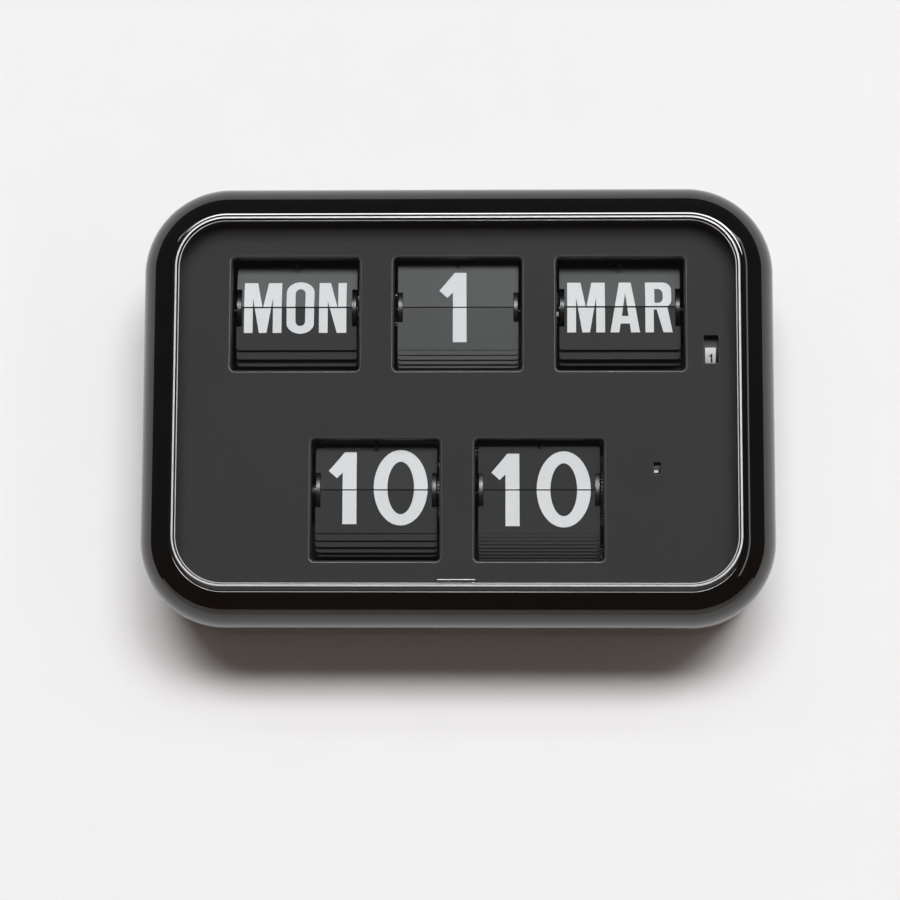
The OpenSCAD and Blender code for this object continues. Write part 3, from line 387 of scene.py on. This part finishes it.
lens_clear = clear_finish()
# White finish for the lens's polished edges: painted light, standing in for the light that clear plastic gathers.
lens_edge = grained("lens_edge", grey(0.74, 0.03), grey(0.88, 0.02), (0.08, 0.2), grain=300)
lens_edge.node_tree.nodes["Principled BSDF"].inputs["Alpha"].default_value = EDGE_ALPHA
print("lens mirrors", LENS_MIRROR, "face on, and its edge lets", round(1 - EDGE_ALPHA, 2), "through")

# %% [markdown]
# ## Case
# The case is one moulding: a straight wall that rolls over into a fat round rim, and a well that runs back
# from the rim to the dial. The rim rolls over a little deeper than wide. Drawn as a profile, that is a
# handful of points and four arcs. Carried round the rounded rectangle it becomes a shell with a true wall
# thickness, and smooth shading keeps its highlights clean.

# %% Case sizes
CORNER_R = 44 * MM
FRONT_ROUND = 20 * MM
FRONT_DEEP = 22 * MM
CASE_WALL = 3 * MM
BEZEL_W = 18.25 * MM
LENS_GAP = 0.6 * MM
WELL_WALL = 2.5 * MM
WELL_EDGE = 0.8 * MM
WELL_EDGE_START = 110  # degrees, where the rim's surface meets the well's round edge
BACK_EDGE = 0.8 * MM
CASE_STEPS = 40

case_w, case_d, case_h = case_high - case_low
dial_front = -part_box("dial_panel")[0].y
rim_centre = CORNER_R - FRONT_ROUND
side_depth = case_d - FRONT_DEEP
opening = CORNER_R - BEZEL_W + LENS_GAP
print("straight side", round(side_depth / MM, 1), "mm, dial at", round(dial_front / MM, 1), "mm")


# %% Case
def angle_at(out, radius):
    """Angle at which an arc about the rim's centre passes a distance from the corner's centre."""
    return math.degrees(math.acos((out - rim_centre) / radius))


def depth_at(out):
    """Depth of the rim's surface at a distance from the corner's centre."""
    return side_depth + FRONT_DEEP * math.sin(math.radians(angle_at(out, FRONT_ROUND)))


edge_out = opening + WELL_EDGE
well_back = opening + WELL_WALL
inner_r = FRONT_ROUND - CASE_WALL
inner_deep = FRONT_DEEP - CASE_WALL
case_profile = [
    *arc(CORNER_R - BACK_EDGE, BACK_EDGE, BACK_EDGE, -90, 0, steps=4),
    *bend(rim_centre, side_depth, FRONT_ROUND, FRONT_DEEP, 0, angle_at(edge_out, FRONT_ROUND), steps=28),
    *arc(edge_out, depth_at(edge_out) - WELL_EDGE, WELL_EDGE, WELL_EDGE_START, 180, steps=5),
    (opening, dial_front),
    (well_back, dial_front),
    *bend(rim_centre, side_depth, inner_r, inner_deep, angle_at(well_back, inner_r), 0, steps=14),
    (CORNER_R - CASE_WALL, BACK_EDGE),
    (CORNER_R - CASE_WALL, 0),
]
case_half = (case_w / 2 - CORNER_R, case_h / 2 - CORNER_R)
bm = bmesh.new()
sweep_round(bm, case_profile, (case_mid.x, case_mid.z), *case_half, closed=True, steps=CASE_STEPS)
case = make_piece(bm, "case", [FINISHES["case_black"]], "case", sharp=40)
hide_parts("case_shell")
print("case", len(case.data.polygons), "faces")

# %% [markdown]
# ## Lens
# The lens is a shallow tray of clear plastic: a flat front, a small round edge and a skirt that plugs into
# the well. The profile is left open at both ends, and the two openings are filled with one flat face each.
# The round edge and the fillet inside it get the white edge finish, painted light that draws the two bright
# lines that frame the dial. At its foot the lens stops a little short of the well, so that a fingernail gets
# in, and a small lip on its front gives the nail a hold. The faces of that lip that look up get the white
# finish too, a painted highlight of the light from above.

# %% Lens sizes
LENS_R = CORNER_R - BEZEL_W
LENS_T = 2.5 * MM
LENS_EDGE = 1.0 * MM
SKIRT_T = 1.5 * MM
SKIRT_LEN = 8 * MM
FILLET = 0.5 * MM
FINGER_GAP = 1.2 * MM
LIP_W = 19 * MM
LIP_T = 0.8 * MM
LIP_UP = 2.8 * MM
LIP_SOFT = 0.4 * MM
# Upward faces of the lip get the white edge finish: a painted highlight of the light from above.
LIP_HIGHLIGHT_FROM = 0.2  # how far up a face of the lip has to look to be white

lens_low, lens_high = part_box("lens_cover")
lens_low.z += FINGER_GAP
lens_front = -lens_low.y - LIP_T
lens_in = lens_front - LENS_T
skirt_in = LENS_R - SKIRT_T
skirt_back = lens_in - SKIRT_LEN
lens_centre = ((lens_low.x + lens_high.x) / 2, (lens_low.z + lens_high.z) / 2)
lens_half = ((lens_high.x - lens_low.x) / 2 - LENS_R, (lens_high.z - lens_low.z) / 2 - LENS_R)
print("lens front at", round(lens_front / MM, 1), "mm, inner face at", round(lens_in / MM, 1), "mm")

# %% Lens tray
lens_profile = [
    *arc(skirt_in - FILLET, lens_in - FILLET, FILLET, 90, 0, steps=4),
    (skirt_in, skirt_back),
    (LENS_R, skirt_back),
    *arc(LENS_R - LENS_EDGE, lens_front - LENS_EDGE, LENS_EDGE, 0, 90, steps=6),
]
bm = bmesh.new()
sweep_round(bm, lens_profile, lens_centre, *lens_half)
for depth in (lens_in, lens_front):
    bmesh.ops.edgeloop_fill(bm, edges=open_edges(bm, depth))
# Faces of the round edge and of the fillet take the white finish: painted light.
for face in bm.faces:
    back = min(-v.co.y for v in face.verts)
    front = max(-v.co.y for v in face.verts)
    slanted = front - back >= NEAR
    at_edge = back > lens_front - LENS_EDGE - NEAR
    at_fillet = back > lens_in - FILLET - NEAR and front < lens_in + NEAR
    face.material_index = 1 if slanted and (at_edge or at_fillet) else 0
print("white edge faces", sum(face.material_index for face in bm.faces))

# %% Lens lip
lip = bmesh.ops.create_cube(bm, size=1)["verts"]
bmesh.ops.scale(bm, vec=(LIP_W, 2 * LIP_T, 2 * LIP_T), verts=lip)
bmesh.ops.translate(bm, vec=(lens_centre[0], -lens_front, lens_low.z + LIP_UP), verts=lip)
bmesh.ops.bevel(bm, geom=edges_among(bm, lip), offset=LIP_SOFT, offset_type="OFFSET", affect="EDGES",
                segments=3, profile=0.5, material=-1)
bmesh.ops.recalc_face_normals(bm, faces=bm.faces[:])
# Upward faces of the lip take the white finish too: a painted highlight.
for face in bm.faces:
    on_lip = max(-v.co.y for v in face.verts) > lens_front + NEAR
    if on_lip and face.normal.z > LIP_HIGHLIGHT_FROM:
        face.material_index = 1
lens = make_piece(bm, "lens", [lens_clear, lens_edge], "lens", weighted=True)
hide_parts("lens_cover")
print("lens", len(lens.data.polygons), "faces")

# %% [markdown]
# ## Dial
# The dial is a satin plate with five leaf windows, each with a soft front edge and a collar behind it, and
# two small windows for the year and the seconds. Every edge is a swept profile, with a glossier finish whose
# colour is also a little brighter than the plate: the gloss is real, the brighter colour is painted light on
# the edges and the collars. What is left between the edges, in front and behind, is filled with triangles,
# which leaves the windows open.

# %% Dial sizes
DIAL_T = 2.5 * MM
DIAL_PAST_LENS = 8 * MM
DIAL_R = LENS_R + DIAL_PAST_LENS
WINDOW_W = 67 * MM
WINDOW_R = 3 * MM
WINDOW_SOFT = 1.2 * MM
UPPER_WINDOW = (60 * MM, 4.8 * MM)  # height, and how far its middle lies below the split line
LOWER_WINDOW = (63.5 * MM, 5.8 * MM)
COLLAR_T = 1.5 * MM
COLLAR_BACK = 7.5 * MM
YEAR_WINDOW = (7.4 * MM, 14.3 * MM)
SECONDS_WINDOW = (3.6 * MM, 5.8 * MM)
SMALL_R = 0.5 * MM
SMALL_SOFT = 0.3 * MM


def middle_of(node):
    """The middle of a node's box."""
    low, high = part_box(node)
    return (low + high) / 2


dial_low, dial_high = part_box("dial_panel")
dial_mid = middle_of("dial_panel")
dial_half = ((dial_high.x - dial_low.x) / 2 - DIAL_R, (dial_high.z - dial_low.z) / 2 - DIAL_R)
dial_back = dial_front - DIAL_T
# The split line of a module lies at the height of its shaft.
split = {m: Vector((middle_of(m + "_leaves").x, 0, middle_of(m + "_shaft").z)) for m in MODULES}
for m in MODULES:
    print(m, "split at", round(split[m].x / MM, 2), round(split[m].z / MM, 2))

# %% Dial
dial_profile = [
    *arc(DIAL_R - SMALL_SOFT, dial_front - SMALL_SOFT, SMALL_SOFT, 90, 0, steps=3),
    (DIAL_R, dial_back),
]
window_profile = [
    *arc(WINDOW_R, dial_front - WINDOW_SOFT, WINDOW_SOFT, 90, 180, steps=6),
    (WINDOW_R - WINDOW_SOFT, dial_front - COLLAR_BACK),
    (WINDOW_R + COLLAR_T, dial_front - COLLAR_BACK),
    (WINDOW_R + COLLAR_T, dial_back),
]
small_profile = [
    *arc(SMALL_R + SMALL_SOFT, dial_front - SMALL_SOFT, SMALL_SOFT, 90, 180, steps=3),
    (SMALL_R, dial_back),
]
bm = bmesh.new()
sweep_round(bm, dial_profile, (dial_mid.x, dial_mid.z), *dial_half)
for m in MODULES:
    window_h, drop = UPPER_WINDOW if m in UPPER_ROW else LOWER_WINDOW
    window_at = (split[m].x, split[m].z - drop)
    sweep_round(bm, window_profile, window_at, WINDOW_W / 2 - WINDOW_R, window_h / 2 - WINDOW_R, steps=8)
for node, (small_w, small_h) in (("year_wheel", YEAR_WINDOW), ("seconds_drum", SECONDS_WINDOW)):
    small_at = (middle_of(node).x, middle_of(node).z)
    sweep_round(bm, small_profile, small_at, small_w / 2 - SMALL_R, small_h / 2 - SMALL_R, steps=4)
# Every swept face takes the glossier edge finish, whose brighter colour is painted light on edges and collars.
for face in bm.faces:
    face.material_index = 1
for depth in (dial_front, dial_back):
    bmesh.ops.triangle_fill(bm, use_beauty=True, edges=open_edges(bm, depth))
# Brighter than the plate in colour: painted light, over a real gloss.
dial_edge_painted_light = grained("dial_edge_painted_light", grey(0.040), grey(0.048), (0.3, 0.36), grain=2500, shine=0.5)
dial = make_piece(bm, "dial", [FINISHES["dial_grey"], dial_edge_painted_light], "case", weighted=True)
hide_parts("dial_panel")
print("dial", len(dial.data.polygons), "faces")

# %% [markdown]
# ## Letters and numbers
# The leaves are printed with tall narrow capitals and plain numbers. Every character is one or two outlines
# in units of the height of a capital: a few corner points, with the round stretches drawn as arcs. A second
# outline is the hole in the first.

# %% Characters
def oval(cx, cy, half_w, half_h, straight=0.0, steps=28):
    """An oval whose sides run straight for a stretch, as a list of points."""
    points = []
    for i in range(steps):
        a = 2 * math.pi * i / steps
        lift = straight / 2 if math.sin(a) >= 0 else -straight / 2
        points.append((cx + half_w * math.cos(a), cy + lift + (half_h - straight / 2) * math.sin(a)))
    return points


CHARACTERS = {
    "M": [[(0, 0), (0, 1), (0.26, 1), (0.366, 0.466), (0.473, 1), (0.733, 1), (0.733, 0), (0.563, 0),
           (0.563, 0.7), (0.44, 0), (0.293, 0), (0.17, 0.7), (0.17, 0)]],
    "O": [oval(0.272, 0.5, 0.272, 0.517, 0.6), oval(0.272, 0.505, 0.097, 0.37, 0.54)],
    "N": [[(0, 0), (0, 1), (0.223, 1), (0.372, 0.466), (0.372, 1), (0.534, 1), (0.534, 0), (0.35, 0),
           (0.17, 0.63), (0.17, 0)]],
    "A": [[(0, 0), (0.17, 1), (0.4, 1), (0.573, 0), (0.4, 0), (0.376, 0.174), (0.196, 0.174), (0.172, 0)],
          [(0.221, 0.322), (0.352, 0.322), (0.287, 0.787)]],
    "R": [[(0, 0), (0, 1), (0.34, 1), *bend(0.34, 0.84, 0.165, 0.16, 90, 0),
           *bend(0.355, 0.64, 0.15, 0.15, 0, -62), (0.528, 0), (0.35, 0), (0.22, 0.45), (0.162, 0.45),
           (0.162, 0)],
          [(0.178, 0.579), (0.178, 0.866), *bend(0.25, 0.756, 0.09, 0.11, 90, 0),
           *bend(0.25, 0.679, 0.09, 0.1, 0, -90)]],
    "T": [[(0.18, 0), (0.18, 0.85), (0, 0.85), (0, 1), (0.53, 1), (0.53, 0.85), (0.35, 0.85), (0.35, 0)]],
    "U": [[(0, 1), *bend(0.272, 0.22, 0.272, 0.237, 180, 360, 14), (0.544, 1), (0.374, 1),
           *bend(0.272, 0.22, 0.102, 0.1, 0, -180, 10), (0.17, 1)]],
    "E": [[(0, 0), (0, 1), (0.44, 1), (0.44, 0.85), (0.17, 0.85), (0.17, 0.58), (0.4, 0.58), (0.4, 0.43),
           (0.17, 0.43), (0.17, 0.15), (0.44, 0.15), (0.44, 0)]],
    "P": [[(0, 0), (0, 1), (0.34, 1), *bend(0.34, 0.8, 0.18, 0.2, 90, 0),
           *bend(0.34, 0.63, 0.18, 0.2, 0, -90), (0.17, 0.43), (0.17, 0)],
          [(0.17, 0.57), (0.17, 0.86), *bend(0.26, 0.76, 0.09, 0.1, 90, 0),
           *bend(0.26, 0.67, 0.09, 0.1, 0, -90)]],
    "0": [oval(0.373, 0.507, 0.373, 0.526, steps=40), oval(0.373, 0.502, 0.184, 0.366, steps=40)],
    "1": [[(0.218, 1), (0.383, 1), (0.388, 0), (0.193, 0), (0.193, 0.715), (0.113, 0.637), (0, 0.739)]],
    "2": [[(0.02, 0), (0.02, 0.13), (0.27, 0.43), *bend(0.24, 0.7, 0.15, 0.17, -40, 185, 14), (-0.08, 0.68),
           *bend(0.25, 0.69, 0.33, 0.33, 180, -42, 18), (0.25, 0.165), (0.58, 0.165), (0.58, 0)]],
    "3": [[*bend(0.27, 0.74, 0.25, 0.26, 170, -40, 12), *bend(0.27, 0.29, 0.29, 0.29, 50, -170, 14),
           *bend(0.27, 0.29, 0.12, 0.14, -170, 80, 12), (0.19, 0.44), (0.19, 0.57),
           *bend(0.27, 0.74, 0.1, 0.12, -80, 170, 10)]],
    "4": [[(0.36, 0), (0.36, 0.22), (0, 0.22), (0, 0.37), (0.33, 1), (0.53, 1), (0.53, 0.37), (0.63, 0.37),
           (0.63, 0.22), (0.53, 0.22), (0.53, 0)], [(0.15, 0.37), (0.36, 0.37), (0.36, 0.78)]],
}
LEFT_OF = {c: min(x for x, y in outlines[0]) for c, outlines in CHARACTERS.items()}
WIDTH_OF = {c: max(x for x, y in outlines[0]) - LEFT_OF[c] for c, outlines in CHARACTERS.items()}
print(len(CHARACTERS), "characters")

# %% [markdown]
# ## Print
# A word is filled, cut along the split line, and laid on its leaf by casting a ray at every point. So the
# upper half lies on the leaf that flips, and the lower half on the one that hangs. Ink is far thinner than
# can be seen: it is one layer of faces, a hundredth of a millimetre in front of the plastic.

# %% Words
INK = grained("ink_white", grey(0.74, 0.07), grey(0.8, 0.07), (0.5, 0.62), grain=1400, shine=0.2)
INK_DARK = grained("ink_black", grey(0.008), grey(0.014), (0.5, 0.6), grain=1400)
INK_LIFT = 0.012 * MM
INK_EDGE = 0.06 * MM


def surface(node):
    """A tree of the triangles of a piece, for casting rays."""
    mesh = frame["nodes"][node].data
    return BVHTree.FromPolygons([v.co for v in mesh.vertices], [p.vertices for p in mesh.polygons])


def word_mesh(word, height, gap):
    """A word as a flat mesh in X and Z, centred on its middle. gap is in units of the height."""
    bm = bmesh.new()
    pen = -(sum(WIDTH_OF[c] for c in word) + gap * (len(word) - 1)) / 2
    for c in word:
        left = LEFT_OF[c]
        edges = []
        for outline in CHARACTERS[c]:
            verts = [bm.verts.new(((pen + x - left) * height, 0, (y - 0.5) * height)) for x, y in outline]
            edges += [bm.edges.new(pair) for pair in zip(verts, verts[1:] + verts[:1])]
        bmesh.ops.triangle_fill(bm, use_beauty=True, edges=edges)
        pen += WIDTH_OF[c] + gap
    return bm


def cut_level(bm, level, side=1, clear=False):
    """Cuts a mesh along a level plane. clear drops what lies below it, or above it for side -1."""
    every = bm.verts[:] + bm.edges[:] + bm.faces[:]
    bmesh.ops.bisect_plane(bm, geom=every, plane_co=(0, 0, level), plane_no=(0, 0, side), clear_inner=clear)


# %% Laying the print
def lay(bm, tree, lift=INK_LIFT):
    """Lays a flat mesh on a surface, seen from the front, with its faces to the front."""
    for v in bm.verts:
        hit = tree.ray_cast(v.co, Vector((0, 1, 0)))[0]
        if hit is None:
            raise RuntimeError("no surface behind a print at %s" % v.co)
        v.co = hit - Vector((0, lift, 0))
    face_front(bm)


def half_word(word, height, gap, place, edge, side, tree):
    """The half of a word that lies past a leaf's edge, above it for side 1 and below it for side -1."""
    bm = word_mesh(word, height, gap)
    bmesh.ops.translate(bm, vec=place, verts=bm.verts[:])
    cut_level(bm, edge + side * INK_EDGE, side, clear=True)
    lay(bm, tree)
    return bm


def turn_about(bm, centre, angle):
    """Turns a mesh about a line through a point, along X."""
    bmesh.ops.rotate(bm, cent=centre, matrix=Matrix.Rotation(angle, 3, "X"), verts=bm.verts[:])


def make_print(bm, name, ink, body):
    """Turns a flat print into a piece that rides on a body."""
    piece = add_object(bm, name, [ink])
    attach(piece, body)


# %% [markdown]
# ## Values on the leaves
# Each leaf is printed on both sides: the front has the upper half of one value, the back the lower half of
# the next. The next value is laid out as if it were showing, then turned to where its leaf waits: the upper
# half goes one step back round the drum, and the lower half swings up behind the top leaf. So the clock
# reads right before and after a flip.

# %% Values
UPPER, LOWER = 1, -1
TAIL_END = 0.25 * MM
CAPITAL, DATE_TALL, TIME_TALL = 26.2 * MM, 36 * MM, 36.7 * MM
# What shows, what comes next, the height, the gap between characters, and the shift to the right and up.
PRINTS = {
    "weekday": ("MON", "TUE", CAPITAL, 0.093, (-0.8 * MM, 0)),
    "date": ("1", "2", DATE_TALL, 0.1, (-2.6 * MM, 0)),
    "month": ("MAR", "APR", CAPITAL, 0.105, (0, 0)),
    "hour": ("10", "11", TIME_TALL, 0.234, (1.0 * MM, 1.0 * MM)),
    "minute": ("10", "11", TIME_TALL, 0.234, (1.0 * MM, 0)),
}


def lean_of(node):
    """Angle that a leaf leans back, read from its largest face."""
    faces = [f for f in frame["nodes"][node].data.polygons if f.normal.y < 0]
    front = max(faces, key=lambda f: f.area).normal
    return math.atan2(front.z, -front.y)


pivots = {j["name"]: Vector(j["pos_m"]) for j in frame["joints"] if "pos_m" in j}
for m, (shown, after, tall, gap, shift) in PRINTS.items():
    top_leaf = m + "_top_leaf"
    ears = pivots[m + "_flip"]
    axis = pivots[m + "_turn"]
    top, pack = surface(top_leaf), surface(m + "_leaves")
    top_edge, low_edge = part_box(top_leaf)[0].z, axis.z - TAIL_END
    place = Vector((axis.x + shift[0], -lens_in, axis.z + shift[1]))
    step = 2 * math.atan2(ears.z - axis.z, axis.y - ears.y)
    lean = lean_of(top_leaf)
    bm = half_word(shown, tall, gap, place, top_edge, UPPER, top)
    make_print(bm, m + "_upper", INK, top_leaf)
    bm = half_word(shown, tall, gap, place, low_edge, LOWER, pack)
    make_print(bm, m + "_lower", INK, "case")
    bm = half_word(after, tall, gap, place, top_edge, UPPER, top)
    turn_about(bm, axis, -step)
    make_print(bm, m + "_next_upper", INK, "case")
    bm = half_word(after, tall, gap, place, low_edge, LOWER, pack)
    bmesh.ops.translate(bm, vec=(0, 0, 2 * (ears.z - axis.z)), verts=bm.verts[:])
    turn_about(bm, ears, -math.pi - lean)
    make_print(bm, m + "_next_lower", INK, top_leaf)
    print(m, "step", round(math.degrees(step), 2), "lean", round(math.degrees(lean), 2))

# %% [markdown]
# ## Small marks
# Behind the small window on the right a wheel shows which year of the four it is, in black on a white label.
# The wheel is dark, and each label is smaller than the window and sits low and a little to the left, so the
# dark wheel above and beside it stands for the shade of the window's edges: painted shade.
# The window below it shows a dark drum with white dashes that wander past, the sign that the clock runs. A
# label follows a round surface only if it has enough cuts across it, so each one is sliced before it is
# laid.

# %% Labels and slices
SLICE = 0.5 * MM


def patch(size, place):
    """A plain rectangle in X and Z, round a place."""
    bm = bmesh.new()
    bmesh.ops.create_grid(bm, x_segments=1, y_segments=1, size=0.5)
    bmesh.ops.scale(bm, vec=(size[0], size[1], 1), verts=bm.verts[:])
    turn_about(bm, (0, 0, 0), math.pi / 2)
    bmesh.ops.translate(bm, vec=place, verts=bm.verts[:])
    return bm


def slice_up(bm):
    """Cuts a flat mesh into thin level strips."""
    low = min(v.co.z for v in bm.verts)
    high = max(v.co.z for v in bm.verts)
    for i in range(1, int((high - low) / SLICE) + 1):
        cut_level(bm, low + i * SLICE)


# %% Year wheel
# The label's size and place leave the dark wheel showing above and beside it: painted shade.
YEAR_LABEL = (5.4 * MM, 7.8 * MM)
LABEL_LEFT = 0.2 * MM
LABEL_DROP = 2.6 * MM
NUMBER_TALL = 4.2 * MM
NUMBER_DROP = 4.0 * MM
NUMBER_LIFT = 3 * INK_LIFT
NUMBER_GAP = 0.1
YEARS = "1234"

year_axis, year_tree = pivots["year_turn"], surface("year_wheel")
label_at = Vector((year_axis.x - LABEL_LEFT, -lens_in, year_axis.z - LABEL_DROP))
number_at = Vector((year_axis.x, -lens_in, year_axis.z - NUMBER_DROP))
for i, number in enumerate(YEARS):
    angle = -i * 2 * math.pi / len(YEARS)
    bm = patch(YEAR_LABEL, label_at)
    slice_up(bm)
    lay(bm, year_tree)
    turn_about(bm, year_axis, angle)
    make_print(bm, "year_label_" + number, FINISHES["year_white"], "year")
    bm = word_mesh(number, NUMBER_TALL, NUMBER_GAP)
    bmesh.ops.translate(bm, vec=number_at, verts=bm.verts[:])
    slice_up(bm)
    lay(bm, year_tree, NUMBER_LIFT)
    turn_about(bm, year_axis, angle)
    make_print(bm, "year_number_" + number, INK_DARK, "year")
print(len(YEARS), "year labels")

# %% Seconds drum
DASH = (2.2 * MM, 1.2 * MM)
DASH_LEFT = 0.3 * MM
DASH_DROP = 1.3 * MM
DASHES = 8

seconds_axis, seconds_tree = pivots["seconds_turn"], surface("seconds_drum")
dash_at = Vector((middle_of("seconds_drum").x - DASH_LEFT, -lens_in, seconds_axis.z - DASH_DROP))
for i in range(DASHES):
    bm = patch(DASH, dash_at)
    slice_up(bm)
    lay(bm, seconds_tree)
    turn_about(bm, seconds_axis, i * 2 * math.pi / DASHES)
    make_print(bm, "seconds_dash_%d" % (i + 1), INK, "seconds")
print(DASHES, "dashes")

# %% [markdown]
# ## Stage
# The clock hangs on a white wall, which also gives its rim the pale reflection along the edge. The wall is
# left open behind the clock, where the case hides it, so that the back of the clock gets light too, and it
# can be seen through from behind. A pale floor lies far below, out of the picture. It reaches only a short
# way in front of the wall, or the glossy lower rim would mirror it and no longer look black.

# %% Stage paint
WALL_WHITE = (0.86, 0.86, 0.865)
FLOOR_PALE = (0.72, 0.66, 0.6)
PAINT_SHADE = 0.99


def painted(name, colour, one_sided):
    """A matt paint that wanders by a hundredth. A one-sided one is clear from behind."""
    material = grained(name, [c * PAINT_SHADE for c in colour], colour, (0.85, 0.95), grain=30)
    if one_sided:
        nodes = material.node_tree.nodes
        links = material.node_tree.links
        side = nodes.new("ShaderNodeNewGeometry")
        clear = nodes.new("ShaderNodeBsdfTransparent")
        mix = nodes.new("ShaderNodeMixShader")
        links.new(side.outputs["Backfacing"], mix.inputs["Fac"])
        links.new(nodes["Principled BSDF"].outputs["BSDF"], mix.inputs[1])
        links.new(clear.outputs["BSDF"], mix.inputs[2])
        links.new(mix.outputs["Shader"], nodes["Material Output"].inputs["Surface"])
    return material


# %% Wall and floor
WALL_REACH = 6.0
WALL_AT = 0.4 * MM
WALL_HIDE = 12 * MM
HOLE_STEPS = 64
FLOOR_DROP = 3.0
FLOOR_OUT = 0.96

bm = bmesh.new()
outer = [bm.verts.new((x * WALL_REACH, WALL_AT, z * WALL_REACH)) for x, z in CORNERS]
outer_edges = [bm.edges.new(pair) for pair in zip(outer, outer[1:] + outer[:1])]
upright = Matrix.Rotation(math.pi / 2, 4, "X")
ring = bmesh.ops.create_circle(bm, segments=HOLE_STEPS, radius=CORNER_R - WALL_HIDE, matrix=upright)["verts"]
for v in ring:
    v.co.x += math.copysign(case_half[0], v.co.x) + case_mid.x
    v.co.z += math.copysign(case_half[1], v.co.z) + case_mid.z
    v.co.y = WALL_AT
bmesh.ops.triangle_fill(bm, use_beauty=True, edges=outer_edges + edges_among(bm, ring))
face_front(bm)
wall = add_object(bm, "wall", [painted("wall_white", WALL_WHITE, True)])

bm = bmesh.new()
bmesh.ops.create_grid(bm, x_segments=1, y_segments=1, size=WALL_REACH)
bmesh.ops.translate(bm, vec=(0, WALL_REACH - FLOOR_OUT, case_mid.z - FLOOR_DROP), verts=bm.verts[:])
floor = add_object(bm, "floor", [painted("floor_pale", FLOOR_PALE, False)])
print("wall", len(wall.data.polygons), "faces, floor", FLOOR_DROP, "m below the clock")

# %% [markdown]
# ## Light
# Three soft key lights stand side by side, a little above the camera. Each throws a soft shadow under the
# clock, and side by side they soften its ends as well. The room gives a dim fill, warm from below and a
# little cool from above, so the glossy rim stays black. Two slim tubes, one above and one to the right, draw
# the thin lines on the rim, and a broad lamp behind the wall lights the back of the clock.

# %% Room
ROOM_ENDS = (0.35, 0.75)
ROOM_LOW = (0.09, 0.06, 0.046)
ROOM_HIGH = (0.085, 0.088, 0.094)

world = bpy.data.worlds.new("room")
world.use_nodes = True
world_nodes = world.node_tree.nodes
world_links = world.node_tree.links
around = world_nodes.new("ShaderNodeTexCoord")
axes = world_nodes.new("ShaderNodeSeparateXYZ")
upward = world_nodes.new("ShaderNodeMapRange")
upward.inputs["From Min"].default_value = -1
room = world_nodes.new("ShaderNodeValToRGB")
set_ramp(room, ROOM_ENDS, (ROOM_LOW, ROOM_HIGH))
world_links.new(around.outputs["Generated"], axes.inputs["Vector"])
world_links.new(axes.outputs["Z"], upward.inputs["Value"])
world_links.new(upward.outputs["Result"], room.inputs["Fac"])
world_links.new(room.outputs["Color"], world_nodes["Background"].inputs["Color"])
bpy.context.scene.world = world
print("room light from", ROOM_LOW, "below to", ROOM_HIGH, "above")

# %% Lamps
KEYS_RIGHT = {"key_left": -7, "key_middle": 5, "key_right": 16}
KEY_UP = 21
KEY_SPREAD = 15
KEY_POWER = 0.99
KEY_REACH = 3
# Angles to the right and up, width and height in metres, and power in watts.
PANELS = {
    "top_tube": (0, 31, 2.6, 0.14, 4),
    "right_tube": (40, 4, 0.14, 1.8, 1.5),
    "back_fill": (180, 25, 1.6, 1.2, 50),
}
PANEL_REACH = 2


def add_lamp(name, kind, right, up, reach, power):
    """Adds a lamp that looks at the clock, with its angles in degrees, and returns its light."""
    lamp = bpy.data.objects.new(name, bpy.data.lights.new(name, kind))
    bpy.context.scene.collection.objects.link(lamp)
    aim(lamp, math.radians(right), math.radians(up), reach)
    lamp.data.energy = power
    return lamp.data


for name, right in KEYS_RIGHT.items():
    key = add_lamp(name, "SUN", right, KEY_UP, KEY_REACH, KEY_POWER)
    key.angle = math.radians(KEY_SPREAD)
for name, (right, up, width, tall, power) in PANELS.items():
    panel = add_lamp(name, "AREA", right, up, PANEL_REACH, power)
    panel.shape = "RECTANGLE"
    panel.size = width
    panel.size_y = tall
print(len(KEYS_RIGHT), "key lights and", len(PANELS), "area lamps")
